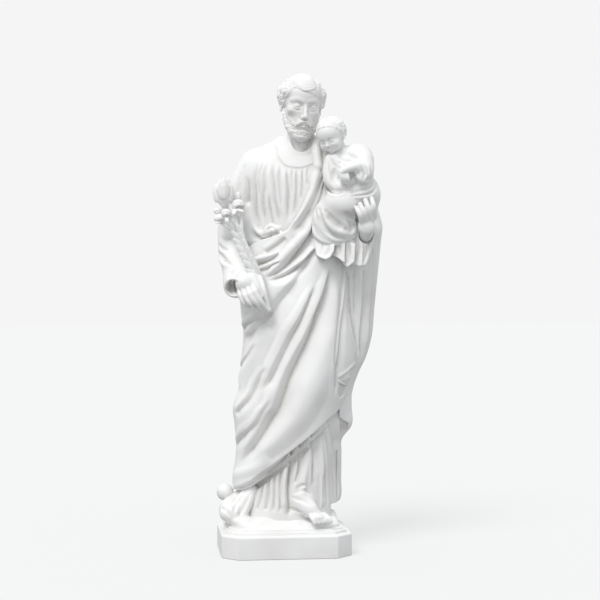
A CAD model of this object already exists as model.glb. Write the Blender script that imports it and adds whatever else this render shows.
"""Looks of the cast statue: the fine carving, the white marble resin, studio light and the camera.

The group is carved again at a finer grain than the solid, on the same layout, as pieces that meet
where one form lies on another. Clay units are thousandths of a metre before the figures are turned.
"""
import math

import bmesh
import bpy
import numpy as np
from mathutils import Matrix, Vector


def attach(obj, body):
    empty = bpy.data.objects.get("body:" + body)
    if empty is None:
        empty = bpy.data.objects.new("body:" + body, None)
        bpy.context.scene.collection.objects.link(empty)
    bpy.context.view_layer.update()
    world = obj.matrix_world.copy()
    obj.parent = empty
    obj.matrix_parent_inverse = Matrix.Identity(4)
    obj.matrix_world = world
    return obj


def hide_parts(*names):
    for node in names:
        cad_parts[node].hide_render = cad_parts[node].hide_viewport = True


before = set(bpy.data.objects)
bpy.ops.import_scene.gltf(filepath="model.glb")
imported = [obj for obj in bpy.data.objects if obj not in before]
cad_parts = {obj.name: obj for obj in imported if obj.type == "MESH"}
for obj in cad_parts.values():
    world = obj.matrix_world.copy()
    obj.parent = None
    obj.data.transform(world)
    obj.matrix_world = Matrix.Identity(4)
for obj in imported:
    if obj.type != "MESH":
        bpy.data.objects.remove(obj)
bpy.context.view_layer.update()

# Plinth, in metres
PLINTH_WIDTH = 0.269
PLINTH_DEPTH = 0.214
PLINTH_CHAMFER = 0.033
BLOCK_HEIGHT = 0.047
BLOCK_ROUNDING = 0.004
STEP_INSET = 0.011
STEP_HEIGHT = 0.007
TOP_STEP_INSET = 0.007
TOP_STEP_HEIGHT = 0.004
GROUND_MARGIN = 0.004
FOOT_BEVEL = 0.0012
CORNER_BEVEL = 0.0022

# The figures: their turn on the plinth in degrees, and metres in a clay unit
FIGURE_TURN = -6.5
UNIT = 0.001

# Grain of the carving, in clay units
ROBE_CELL = 1.7
FINE_CELL = 1.2
HEAD_CELL = 0.8
CHILD_CELL = 0.6
RELIEF_STEP = 1.0

# The figures are laid out as seen by an eye in front of them
EYE_X = 35.0
EYE_Z = 600.0
EYE_DISTANCE = 3200.0
LAYOUT_Y = -60.0
AIM_Z = 525.1
LENS = 91.8

# Stands for no clay near, and the smallest crumb of clay that is kept
FAR = 1.0e3
LEAST_FACES = 300

# Most triangles of each piece
ROBE_TRIANGLES = 195000
MAN_HEAD_TRIANGLES = 160000
CHILD_TRIANGLES = 120000
SMALL_TRIANGLES = 60000
GROUND_TRIANGLES = 40000

# Marble: where its clouds turn from one tone to the other, the grime and the grain
CLOUD_TONES = ((0.35, (0.76, 0.755, 0.74, 1)), (0.65, (0.84, 0.84, 0.835, 1)))
CLOUD_SCALE = 9.0
GRIME = (0.55, 0.53, 0.49, 1)
GRAIN_SCALE = 420.0
GRAIN_HEIGHT = 0.0006

# Studio: the backdrop that shows, the light from all round, the one lamp and the floor
PAPER = 0.913
AROUND = 0.885
AROUND_COLOUR = (0.96, 0.98, 1.0, 1)
KEY_PLACE = (-0.95, -1.30, 2.1)
KEY_SPREAD = 26
KEY_POWER = 1.68
KEY_COLOUR = (1.0, 0.997, 0.985)
FLOOR_TONE = 0.30
FLOOR_BOUNCE = 0.32
FLOOR_GLOW = 0.535
FLOOR_HALF = 12.0


def spread(y):
    """How much further apart things lie at depth y than on the layout plane, to look the same."""
    return (EYE_DISTANCE + y) / (EYE_DISTANCE + LAYOUT_Y)


def seen(x, z, y=LAYOUT_Y):
    """The point at depth y that the eye sees at (x, z) of the layout plane."""
    k = spread(y)
    return (EYE_X + (x - EYE_X) * k, y, EYE_Z + (z - EYE_Z) * k)


def smooth(t):
    """Rises softly from 0 to 1."""
    t = np.clip(t, 0.0, 1.0)
    return t * t * (3 - 2 * t)


def through(knots, values, t):
    """A smooth curve through values at knots, read at t."""
    knots = np.asarray(knots, float)
    values = np.asarray(values, float)
    slope = np.gradient(values, knots)
    t = np.clip(t, knots[0], knots[-1])
    i = np.clip(np.searchsorted(knots, t, side="right") - 1, 0, len(knots) - 2)
    h = knots[i + 1] - knots[i]
    s = (t - knots[i]) / h
    start = (1 + 2 * s) * (1 - s) ** 2 * values[i] + s * (1 - s) ** 2 * h * slope[i]
    end = s * s * (3 - 2 * s) * values[i + 1] + s * s * (s - 1) * h * slope[i + 1]
    return (start + end).astype(np.float32)


def flowing(points, per_span=6):
    """More points on a smooth curve through these."""
    p = np.asarray(points, float)
    if len(p) < 3:
        return p
    out = []
    for i in range(len(p) - 1):
        before = p[i - 1] if i else 2 * p[0] - p[1]
        after = p[i + 2] if i + 2 < len(p) else 2 * p[-1] - p[-2]
        a, b = p[i], p[i + 1]
        for s in np.arange(per_span) / per_span:
            line = 2 * a + (b - before) * s
            bend = (2 * before - 5 * a + 4 * b - after) * s * s
            twist = (3 * a - before - 3 * b + after) * s ** 3
            out.append(0.5 * (line + bend + twist))
    out.append(p[-1])
    return np.array(out)


def turned(yaw=0, pitch=0, roll=0):
    """Degrees: pitch bows a face, yaw turns it to +X, roll leans its top to +X."""
    a, b, c = (math.radians(v) for v in (yaw, pitch, roll))
    about_z = np.array([[math.cos(a), -math.sin(a), 0], [math.sin(a), math.cos(a), 0], [0, 0, 1]])
    about_x = np.array([[1, 0, 0], [0, math.cos(b), -math.sin(b)], [0, math.sin(b), math.cos(b)]])
    about_y = np.array([[math.cos(c), 0, math.sin(c)], [0, 1, 0], [-math.sin(c), 0, math.cos(c)]])
    return about_y @ about_z @ about_x


class Ball:
    """An ellipsoid with its own turn."""

    def __init__(self, centre, radii, turn=None):
        self.centre = np.asarray(centre, float)
        self.radii = np.full(3, radii, float) if np.isscalar(radii) else np.asarray(radii, float)
        self.turn = turn
        reach = self.radii if turn is None else np.sqrt((np.asarray(turn) ** 2) @ (self.radii ** 2))
        self.low = self.centre - reach
        self.high = self.centre + reach

    def at(self, x, y, z):
        dx, dy, dz = (v - np.float32(c) for v, c in zip((x, y, z), self.centre))
        if self.turn is not None:
            m = np.asarray(self.turn, np.float32)
            dx, dy, dz = (m[0, i] * dx + m[1, i] * dy + m[2, i] * dz for i in range(3))
        r = self.radii.astype(np.float32)
        u, v, w = dx / r[0], dy / r[1], dz / r[2]
        share = np.sqrt(u * u + v * v + w * w)
        slope = np.sqrt((u / r[0]) ** 2 + (v / r[1]) ** 2 + (w / r[2]) ** 2)
        return share * (share - 1) / np.maximum(slope, 1e-6)


class Limb:
    """A smooth round rope through points, with a radius at each."""

    def __init__(self, points, radii, per_span=5):
        p = np.asarray(points, float)
        r = np.full(len(p), radii, float) if np.isscalar(radii) else np.asarray(radii, float)
        both = flowing(np.column_stack([p, r]), per_span)
        self.points = both[:, :3]
        self.radii = np.maximum(both[:, 3], 1e-3)
        self.low = (self.points - self.radii[:, None]).min(0)
        self.high = (self.points + self.radii[:, None]).max(0)

    def at(self, x, y, z):
        best = None
        for a, b, ra, rb in zip(self.points[:-1], self.points[1:], self.radii[:-1], self.radii[1:]):
            step = (b - a).astype(np.float32)
            dx, dy, dz = (v - np.float32(c) for v, c in zip((x, y, z), a))
            along = dx * step[0] + dy * step[1] + dz * step[2]
            t = np.clip(along / np.float32(step @ step + 1e-9), 0, 1)
            off = (dx - t * step[0]) ** 2 + (dy - t * step[1]) ** 2 + (dz - t * step[2]) ** 2
            d = np.sqrt(off) - (np.float32(ra) + t * np.float32(rb - ra))
            best = d if best is None else np.minimum(best, d)
        return best


class Form:
    """Any distance rule with the box that it fills."""

    def __init__(self, at, low, high):
        self.at = at
        self.low = np.asarray(low, float)
        self.high = np.asarray(high, float)


def leaf(root, tip, width, thick, faces=(0, -1, 0)):
    """A flat pointed oval from root to tip, its broad side towards faces."""
    root, tip = np.asarray(root, float), np.asarray(tip, float)
    axis = tip - root
    length = np.linalg.norm(axis)
    axis = axis / length
    side = np.cross(axis, faces)
    side = side / np.linalg.norm(side)
    normal = np.cross(side, axis)
    return Ball((root + tip) / 2, (width / 2, thick / 2, length / 2), np.column_stack([side, normal, axis]))


def joined(a, b, melt):
    """Two forms as one, melted together where they meet."""
    if melt <= 0:
        return np.minimum(a, b)
    h = np.clip(0.5 + 0.5 * (b - a) / melt, 0, 1)
    return b + (a - b) * h - melt * h * (1 - h)


def pared(a, b, melt):
    """One form less another, its edge rounded."""
    if melt <= 0:
        return np.maximum(a, -b)
    h = np.clip(0.5 - 0.5 * (b + a) / melt, 0, 1)
    return a + (-b - a) * h + melt * h * (1 - h)


class Clay:
    """Distances to the surface on a lattice of cells, under 0 inside."""

    START = np.array((-180.0, -160.0, 20.0))

    def __init__(self, low, high, cell):
        self.cell = cell
        self.first = np.round((np.asarray(low, float) - self.START) / cell).astype(int)
        self.low = self.START + cell * self.first
        count = np.ceil((np.asarray(high, float) - self.low) / cell).astype(int) + 1
        self.axes = [(self.low[i] + cell * np.arange(count[i])).astype(np.float32) for i in range(3)]
        self.d = np.full(count, FAR, np.float32)

    def block(self, low, high):
        """The part of the lattice inside a box, and its coordinates."""
        where, axes = [], []
        for i in range(3):
            a = max(int(math.floor((low[i] - self.low[i]) / self.cell)), 0)
            b = min(int(math.ceil((high[i] - self.low[i]) / self.cell)) + 1, self.d.shape[i])
            if b <= a:
                return None, None
            shape = [1, 1, 1]
            shape[i] = -1
            where.append(slice(a, b))
            axes.append(self.axes[i][a:b].reshape(shape))
        return tuple(where), axes

    def change(self, form, melt, rule):
        pad = melt + 2.5 * self.cell
        where, axes = self.block(form.low - pad, form.high + pad)
        if where is not None:
            self.d[where] = rule(self.d[where], form.at(*axes), melt)

    def add(self, form, melt=0.0):
        self.change(form, melt, joined)

    def cut(self, form, melt=0.0):
        self.change(form, melt, pared)

    def put(self, piece, melt=0.0):
        """Melts another lump on the same lattice into this one."""
        offset = piece.first - self.first
        mine, its = [], []
        for i in range(3):
            a = max(offset[i], 0)
            b = min(offset[i] + piece.d.shape[i], self.d.shape[i])
            mine.append(slice(a, b))
            its.append(slice(a - offset[i], b - offset[i]))
        self.d[tuple(mine)] = joined(self.d[tuple(mine)], piece.d[tuple(its)], melt)

    def surface(self):
        """One point in each cell that the surface crosses, and a quad for each crossed edge."""
        d = self.d
        inside = d < 0
        cells = tuple(n - 1 for n in d.shape)
        total = np.zeros(cells + (3,), np.float32)
        count = np.zeros(cells, np.uint8)
        ends = (slice(0, -1), slice(1, None))
        for axis in range(3):
            u, v = [other for other in range(3) if other != axis]
            for i in range(2):
                for j in range(2):
                    start, stop = [None] * 3, [None] * 3
                    start[axis], stop[axis] = ends
                    start[u] = stop[u] = ends[i]
                    start[v] = stop[v] = ends[j]
                    a, b = d[tuple(start)], d[tuple(stop)]
                    crossed = np.nonzero((a < 0) != (b < 0))
                    offset = np.zeros((len(crossed[0]), 3), np.float32)
                    offset[:, axis] = a[crossed] / (a[crossed] - b[crossed])
                    offset[:, u] = i
                    offset[:, v] = j
                    total[crossed] += offset
                    count[crossed] += 1
        used = count > 0
        index = np.full(cells, -1, np.int32)
        corners = np.argwhere(used)
        index[used] = np.arange(len(corners))
        points = self.low + self.cell * (corners + total[used] / count[used][:, None])
        quads = []
        for axis in range(3):
            u, v = [other for other in range(3) if other != axis]
            start = [slice(1, -1)] * 3
            stop = [slice(1, -1)] * 3
            start[axis], stop[axis] = ends
            a, b = inside[tuple(start)], inside[tuple(stop)]
            edges = np.argwhere(a != b)
            outward = a[tuple(edges.T)]
            edges[:, u] += 1
            edges[:, v] += 1
            ring = []
            for back_u, back_v in ((1, 1), (0, 1), (0, 0), (1, 0)):
                cell = edges.copy()
                cell[:, u] -= back_u
                cell[:, v] -= back_v
                ring.append(index[tuple(cell.T)])
            quad = np.column_stack(ring)
            turn = outward if axis == 1 else ~outward
            quad[turn] = quad[turn][:, ::-1]
            quads.append(quad)
        return points, np.concatenate(quads)


# The robed body, by height: outline on each side, middle and half depth
BODY_Z = (45, 100, 150, 200, 235, 265, 300, 345, 400, 450, 500, 550, 600, 650, 700, 750, 790, 812, 830,
          846, 858, 868)
BODY_LEFT = (-92, -95, -100, -93, -93, -96, -100, -87, -82, -77, -82, -85, -83, -77, -75, -86, -94, -86,
             -69, -45, -22, -6)
BODY_RIGHT = (104, 104, 104, 105, 107, 110, 118, 132, 143, 140, 132, 128, 128, 130, 134, 138, 136, 130,
              120, 104, 86, 72)
BODY_MIDDLE = (2, 2, 2, 0, -2, -3, -4, -5, -5, -4, -2, 0, 2, 4, 5, 5, 4, 4, 4, 4, 4, 4)
BODY_DEEP = (70, 72, 74, 75, 76, 77, 78, 78, 78, 77, 75, 72, 69, 68, 69, 69, 62, 54, 46, 38, 31, 24)

# The mantle that hangs behind from the carrying arm, by height
FALL_Z = (90, 100, 150, 205, 232, 258, 300, 330, 350, 372, 400, 450, 500, 550, 600, 650, 684, 700, 740,
          790, 830)
FALL_RIGHT = (112, 117, 120, 121, 122, 142, 143, 144, 149, 158, 172, 187, 193, 198, 202, 206, 208, 203,
              190, 168, 130)
FALL_LEFT = (-60, -66, -74, -72, -72, -72, -76, -70, -66, -64, -62, -58, -58, -60, -62, -60, -60, -58,
             -56, -56, -40)
FALL_MIDDLE = (26, 26, 26, 26, 26, 26, 27, 28, 28, 28, 28, 28, 28, 27, 25, 22, 18, 16, 14, 13, 12)
FALL_DEEP = (50, 52, 54, 56, 56, 56, 56, 55, 55, 54, 54, 54, 54, 54, 54, 54, 53, 52, 50, 46, 36)

# Arc length on a relief for one radian round
ROUND = 105.0


def column_size(heights, left, right, middle, deep):
    """A rule that gives a column's centre, half width, middle depth and half depth at a height."""
    def at(z):
        low, high = through(heights, left, z), through(heights, right, z)
        return (low + high) / 2, (high - low) / 2, through(heights, middle, z), through(heights, deep, z)

    return at


body_size = column_size(BODY_Z, BODY_LEFT, BODY_RIGHT, BODY_MIDDLE, BODY_DEEP)
fall_size = column_size(FALL_Z, FALL_LEFT, FALL_RIGHT, FALL_MIDDLE, FALL_DEEP)


def wrap(points, size):
    """Lays points seen from the front on a column: how far round, and how high."""
    p = np.asarray(points, float)
    y = np.full(len(p), LAYOUT_Y)
    for _ in range(4):
        k = spread(y)
        x = EYE_X + (p[:, 0] - EYE_X) * k
        z = EYE_Z + (p[:, 1] - EYE_Z) * k
        centre, half, middle, deep = size(z)
        share = (x - centre) / half
        angle = np.arcsin(np.clip(share, -1, 1))
        y = middle - deep * np.cos(angle)
    past = np.maximum(np.abs(share) - 1, 0) * np.sign(share)
    return np.column_stack([(angle + 1.2 * past) * ROUND, z])


def outline_gap(outline, u, z):
    """Distance outside a closed outline in the flat, under 0 inside."""
    outline = np.asarray(outline, float)
    best = np.full((u + z).shape, FAR * FAR, np.float32)
    inside = np.zeros(best.shape, bool)
    for a, b in zip(outline, np.roll(outline, -1, axis=0)):
        step = b - a
        t = np.clip(((u - a[0]) * step[0] + (z - a[1]) * step[1]) / (step @ step + 1e-9), 0, 1)
        best = np.minimum(best, (u - a[0] - t * step[0]) ** 2 + (z - a[1] - t * step[1]) ** 2)
        if a[1] != b[1]:
            left_of = u < step[0] * (z - a[1]) / step[1] + a[0]
            inside ^= ((a[1] > z) != (b[1] > z)) & left_of
    return np.where(inside, -np.sqrt(best), np.sqrt(best))


class Relief:
    """Heights of cloth over a column: one axis runs round it, the other up it."""

    def __init__(self, size, step, low=40.0, high=880.0):
        self.size = size
        self.step = step
        half = math.pi * ROUND
        self.u = np.linspace(-half, half, int(round(2 * half / step)) + 1)
        self.z = np.arange(low, high + step, step)
        self.h = np.zeros((len(self.u), len(self.z)), np.float32)

    def stroke(self, points, width, height, reach, profile, ends=0.12):
        """Adds a profile across a path, by the side that a place lies on and its distance in widths."""
        p = flowing(wrap(points, self.size))
        widths = np.atleast_1d(np.asarray(width, float))
        heights = np.atleast_1d(np.asarray(height, float))
        far = reach * widths.max()
        su = slice(*np.searchsorted(self.u, (p[:, 0].min() - far, p[:, 0].max() + far)))
        sz = slice(*np.searchsorted(self.z, (p[:, 1].min() - far, p[:, 1].max() + far)))
        u = self.u[su][:, None].astype(np.float32)
        z = self.z[sz][None, :].astype(np.float32)
        length = np.concatenate([[0], np.cumsum(np.hypot(*np.diff(p, axis=0).T))])
        share = length / length[-1]
        best = np.full((u.shape[0], z.shape[1]), FAR, np.float32)
        where = np.zeros_like(best)
        side = np.ones_like(best)
        for i in range(len(p) - 1):
            a, step = p[i], p[i + 1] - p[i]
            t = np.clip(((u - a[0]) * step[0] + (z - a[1]) * step[1]) / (step @ step + 1e-9), 0, 1)
            du, dz = u - a[0] - t * step[0], z - a[1] - t * step[1]
            off = np.hypot(du, dz)
            near = off < best
            best = np.where(near, off, best)
            where = np.where(near, share[i] + t * (share[i + 1] - share[i]), where)
            side = np.where(near, np.sign(step[0] * dz - step[1] * du), side)
        w = np.interp(where, np.linspace(0, 1, len(widths)), widths)
        h = np.interp(where, np.linspace(0, 1, len(heights)), heights)
        taper = smooth(where / ends) * smooth((1 - where) / ends)
        self.h[su, sz] += (h * profile(side, best / w) * taper).astype(np.float32)

    def folds(self, rows):
        """Rounded ridges, or hollows where the height is under 0."""
        for points, width, height in rows:
            self.stroke(points, width, height, 1.0, lambda side, s: (1 - np.clip(s, 0, 1) ** 2) ** 2)

    def pleats(self, rows, strength=1.0, ends=0.12):
        """Valleys drawn downward: a round ridge drops steeply into them, and cloth rises gently beyond."""
        def profile(side, s):
            t = side * s
            ridge = 0.42 * (1 - np.clip(np.abs(t + 0.85) / 0.95, 0, 1) ** 2) ** 2
            before = np.clip(-t / 0.55, 0, 1)
            after = np.clip(t / 1.7, 0, 1)
            steep = (1 - before) ** 2 * (1 + 1.3 * before)
            gentle = (1 - after) ** 2 * (1 + 0.9 * after)
            return ridge - np.where(t < 0, steep, gentle)

        for points, width, height in rows:
            self.stroke(points, width, np.multiply(height, strength), 1.85, profile, ends)

    def outside(self, outline):
        """Distance outside a closed outline on the column, under 0 inside."""
        return outline_gap(outline, self.u[:, None].astype(np.float32), self.z[None, :].astype(np.float32))

    def read(self, u, z):
        """Height of the cloth at places on the column."""
        fu = np.clip((u - self.u[0]) / (self.u[1] - self.u[0]), 0, len(self.u) - 1.001)
        fz = np.clip((z - self.z[0]) / self.step, 0, len(self.z) - 1.001)
        iu, iz = fu.astype(np.int32), fz.astype(np.int32)
        tu, tz = fu - iu, fz - iz
        low = self.h[iu, iz] * (1 - tu) + self.h[iu + 1, iz] * tu
        high = self.h[iu, iz + 1] * (1 - tu) + self.h[iu + 1, iz + 1] * tu
        return low * (1 - tz) + high * tz


def column(relief, low, high):
    """The solid under a relief, from height low to height high."""
    reach = 45.0

    def at(x, y, z):
        centre, half, middle, deep = (v.reshape(z.shape) for v in relief.size(z.reshape(-1)))
        dx, dy = x - centre, y - middle
        p, q = dx / half, dy / deep
        out = np.sqrt(dx * dx + dy * dy)
        d = out * (1 - 1 / np.maximum(np.sqrt(p * p + q * q), 1e-3))
        angle = np.arctan2(p, -q)
        near = np.abs(d) < reach
        d[near] -= relief.read(angle[near] * ROUND, np.broadcast_to(z, d.shape)[near])
        return np.maximum(d, np.maximum(low - z, z - high))

    heights = np.linspace(low, high, 60)
    centre, half, middle, deep = relief.size(heights)
    pad = 22.0
    return Form(at, ((centre - half).min() - pad, (middle - deep).min() - pad, low),
                ((centre + half).max() + pad, (middle + deep).max() + pad, high))


# Folds are (path seen from the front, half width, height); widths and heights may change on the way
GATHERS = (
    (((-47, 820), (-56, 792), (-58, 745), (-57, 702), (-46, 664)), (5, 9, 10, 9, 6), (5, 7, 9, 8, 5)),
    (((-37, 818), (-46, 796), (-50, 750), (-50, 715)), (4, 6, 7, 5), (5, 5, 4, 1)),
    (((-29, 815), (-37, 798), (-41, 760), (-43, 718), (-38, 672)), (4, 7, 8, 9, 6), (5, 6, 7, 8, 5)),
    (((-19, 812), (-21, 770), (-17, 730), (-11, 700), (-6, 672)), (4, 8, 9, 9, 6), (6, 7, 8, 7, 5)),
    (((-6, 806), (-9, 782), (-8, 740), (-3, 705)), (4, 6, 7, 5), (5, 5, 4, 1)),
    (((8, 799), (10, 752), (9, 715), (8, 680)), (4, 7, 9, 7), (6, 7, 8, 4)),
    (((18, 798), (19, 770), (17, 735)), (3, 5, 4), (5, 4, 1)),
    (((28, 798), (28, 755), (24, 715), (18, 694)), (4, 7, 8, 6), (6, 6, 5, 3)),
    (((40, 798), (40, 765), (36, 728)), (4, 6, 5), (5, 5, 3)),
    (((50, 800), (50, 760)), 4, 4),
    (((-30, 750), (-27, 710), (-22, 672)), (5, 7, 6), (3, 6, 4)),
)
TUNIC_PLEATS = (
    (((-72, 782), (-74, 738), (-72, 702), (-69, 668)), (10, 13, 13, 9), (8, 12, 12, 8)),
    (((22, 222), (15, 170), (11, 130), (12, 80)), (9, 12, 12, 10), (12, 13, 11, 8)),
    (((50, 246), (42, 205), (36, 172), (26, 142)), (12, 13, 12, 9), (12, 10, 7, 2)),
    (((76, 262), (71, 218), (67, 180), (64, 140)), (12, 13, 12, 9), (11, 9, 6, 2)),
    (((97, 270), (95, 200), (97, 140), (99, 90)), 9, (12, 10, 9, 7)),
    (((84, 170), (84, 130), (86, 92)), (6, 8, 7), (2, 4, 3)),
    (((-62, 152), (-58, 126), (-62, 92)), (6, 8, 6), (3, 5, 4)),
    (((-44, 164), (-40, 130), (-42, 90)), (6, 9, 7), (5, 6, 4)),
    (((-27, 178), (-22, 130), (-25, 88)), (6, 8, 6), (4, 4.5, 3)),
    (((-9, 192), (-8, 140), (-8, 86)), (6, 9, 7), (5, 5, 3)),
)
TUNIC_RIDGES = (
    (((-62, 690), (-54, 670), (-36, 663), (-16, 671), (0, 677)), (8, 10, 11, 10, 7), 4.5),
    (((-58, 662), (-40, 652), (-20, 658)), 10, -6),
    (((3, 195), (2, 150), (0, 95)), 11, 3),
    (((56, 225), (50, 185), (44, 150), (40, 118)), 12, 5),
    (((85, 245), (84, 190), (84, 140), (88, 96)), 12, 5),
)
MANTLE_PLEATS = (
    (((62, 700), (58, 666), (41, 640), (20, 614), (2, 594), (-16, 580), (-32, 570)),
     (7, 12, 15, 16, 16, 13, 8), (6, 12, 16, 18, 17, 13, 6)),
    (((66, 634), (46, 607), (24, 589), (2, 576), (-28, 565)), (8, 12, 13, 12, 8), (9, 13, 14, 11, 5)),
    (((-2, 624), (-20, 613), (-38, 605), (-58, 599)), (3, 8, 10, 9), (1, 8, 12, 9)),
    (((2, 606), (-16, 599), (-32, 591), (-50, 585)), (3, 6, 8, 7), (1, 5, 8, 5)),
    (((8, 656), (-8, 641), (-34, 623)), 10, 4.5),
    (((62, 614), (42, 589), (18, 552), (-4, 525), (-26, 496), (-56, 464), (-74, 444)),
     (10, 18, 24, 26, 24, 18, 12), (4, 7, 9, 9, 8, 8, 6)),
    (((66, 562), (39, 491), (18, 449), (0, 410), (-18, 372), (-40, 338)),
     (8, 13, 17, 18, 18, 14), (4, 9, 12, 12, 11, 7)),
    (((96, 602), (83, 543), (66, 486), (50, 444), (28, 400), (8, 356), (-9, 306), (-24, 283), (-42, 252),
      (-62, 222), (-84, 188)), (9, 15, 20, 22, 24, 25, 24, 24, 22, 18, 12),
     (6, 12, 15, 16, 16, 16, 15, 14, 12, 10, 6)),
    (((124, 598), (121, 545), (117, 498), (112, 451), (106, 385), (100, 325)),
     (7, 10, 11, 12, 13, 12), (8, 8, 7, 6, 6, 4)),
    (((84, 806), (76, 768), (60, 724), (44, 694), (22, 664)), (10, 14, 15, 14, 10), 5),
    (((94, 820), (86, 770), (74, 730), (62, 700)), 11, 5),
    (((-20, 506), (-48, 486), (-80, 466)), (8, 12, 9), (3, 6, 5)),
    (((-30, 392), (-52, 352), (-72, 318), (-92, 290)), (10, 14, 14, 10), (2, 5, 7, 5)),
    (((-16, 330), (-34, 300), (-58, 262), (-92, 226)), (10, 15, 15, 10), (2, 5, 6, 4)),
    (((-48, 440), (-66, 410), (-84, 384)), (8, 12, 9), (2, 4, 3)),
)
MANTLE_RIDGES = (
    (((104, 590), (100, 520), (88, 440), (66, 360), (34, 295), (-14, 240), (-60, 196)),
     (12, 22, 32, 38, 38, 32, 20), (3, 5, 7, 8, 8, 7, 5)),
    (((-84, 350), (-60, 410), (-36, 480)), 34, 6),
    (((-96, 166), (-60, 178), (-20, 205)), 16, 3),
    (((66, 830), (62, 780), (50, 735), (30, 700), (6, 676)), 10, 4),
)
FALL_PLEATS = (
    (((130, 590), (129, 530), (138, 465), (146, 425)), 9, 6),
    (((146, 600), (147, 520), (150, 450), (152, 405)), (8, 10, 10, 7), 4),
    (((166, 596), (165, 520), (160, 450), (157, 400)), (9, 13, 12, 8), 8),
    (((184, 640), (183, 560), (178, 480), (170, 420)), (7, 9, 9, 6), 6),
    (((196, 660), (193, 600), (189, 520), (182, 450)), 6, 4),
    (((104, 225), (104, 180), (106, 110)), 7, 5),
    (((158, 380), (150, 350), (142, 330)), 8, 6),
)
FALL_RIDGES = (
    (((111, 215), (111, 160), (111, 108)), 6, 3),
)
# Edge of the mantle on the chest, and its hem
MANTLE_TOP = ((60, 850), (59, 800), (52, 755), (38, 718), (25, 694), (8, 670), (-15, 660), (-45, 651),
              (-63, 640), (-78, 622))
MANTLE_HEM = ((128, 600), (130, 520), (140, 475), (146, 440), (150, 401), (113, 362), (137, 342),
              (112, 301), (90, 279), (60, 249), (30, 223), (0, 199), (-20, 183), (-40, 170), (-60, 152),
              (-80, 142), (-100, 134))
MANTLE_THICK = 6.0
HEM_SHADE = 26.0

# Lower edge of the tunic's plain collar, from the shoulder round the front
YOKE_SEAM = ((-16, 862), (-16, 842), (-10, 820), (3, 803), (22, 797), (44, 798), (62, 806))
YOKE_THICK = 2.2


def plain_folds(relief, start, low, high, lean, size):
    """Long plain folds round the side and back that the front doesn't show."""
    u, z = relief.u[:, None], relief.z[None, :]
    away = smooth((np.abs(u) - start) / 42) * smooth((z - low) / 60) * smooth((high - z) / 160)
    swing = u + lean * (z - 400)
    relief.h += (away * size * (np.cos(swing / 11.5) + 0.4 * np.cos(swing / 5.2))).astype(np.float32)


def body_relief(step):
    """Tunic with the mantle laid over it."""
    tunic = Relief(body_size, step)
    tunic.pleats(TUNIC_PLEATS)
    tunic.pleats(GATHERS, 0.62, 0.24)
    tunic.folds(TUNIC_RIDGES)
    seam = flowing(wrap(YOKE_SEAM, body_size))
    collar = tunic.outside(np.concatenate([seam, [(120, 900), (-30, 900)]]))
    tunic.h += YOKE_THICK * smooth(-collar / 2.5)
    mantle = Relief(body_size, step)
    top = wrap(MANTLE_TOP, body_size)
    hem = wrap(MANTLE_HEM, body_size)
    end = math.pi * ROUND + 30
    behind = [(-190, 640), (-240, 760), (-end, 900), (-end, 112), (-230, 118)]
    outline = np.concatenate([[(end, 900), (100, 900)], top, behind, hem[::-1], [(end, 610)]])
    gap = mantle.outside(outline)
    mantle.pleats(MANTLE_PLEATS)
    mantle.folds(MANTLE_RIDGES)
    covered = smooth(-gap / 3.5)
    shade = HEM_SHADE * np.exp(-np.clip(gap, 0, 80) / 45.0) * smooth((330 - mantle.z[None, :]) / 60.0)
    mantle.h = (mantle.h + MANTLE_THICK) * covered + (tunic.h - shade) * (1 - covered)
    plain_folds(mantle, 150, 90, 800, 0.22, 3.0)
    return mantle


def fall_relief(step):
    """The mantle that hangs behind from the carrying arm."""
    fall = Relief(fall_size, step)
    fall.pleats(FALL_PLEATS)
    fall.folds(FALL_RIDGES)
    plain_folds(fall, 135, 60, 760, 0.10, 4.0)
    return fall


class Place:
    """The frame of a head: its centre, its height from chin to crown, and its turn."""

    def __init__(self, centre, scale, turn):
        self.centre = np.asarray(centre, float)
        self.scale = float(scale)
        self.turn = np.asarray(turn, float)

    def to(self, points):
        return self.centre + self.scale * (np.atleast_2d(np.asarray(points, float)) @ self.turn.T)

    def ball(self, centre, radii, turn=None):
        radii = np.full(3, radii, float) if np.isscalar(radii) else np.asarray(radii, float)
        return Ball(self.to(centre)[0], radii * self.scale, self.turn if turn is None else self.turn @ turn)

    def limb(self, points, radii, per_span=5):
        radii = np.full(len(points), radii, float) if np.isscalar(radii) else np.asarray(radii, float)
        return Limb(self.to(points), radii * self.scale, per_span)

    def lid(self, centre, radius, low, tilt):
        """The part of a ball above a tilted line, in this frame."""
        ball = self.ball(centre, radius)

        def at(x, y, z):
            lx, ly, lz = self.inside(x, y, z)
            below = low + tilt * (lx - centre[0]) - lz
            return np.maximum(ball.at(x, y, z), below * self.scale).astype(np.float32)

        return Form(at, ball.low, ball.high)

    def inside(self, x, y, z):
        """Coordinates in this frame."""
        m = self.turn
        d = [v - c for v, c in zip((x, y, z), self.centre)]
        return [(m[0, i] * d[0] + m[1, i] * d[1] + m[2, i] * d[2]) / self.scale for i in range(3)]


def mirrored(points, s):
    """Points on one side of a head: s is 1 or -1."""
    return [(s * x, y, z) for x, y, z in points]


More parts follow.
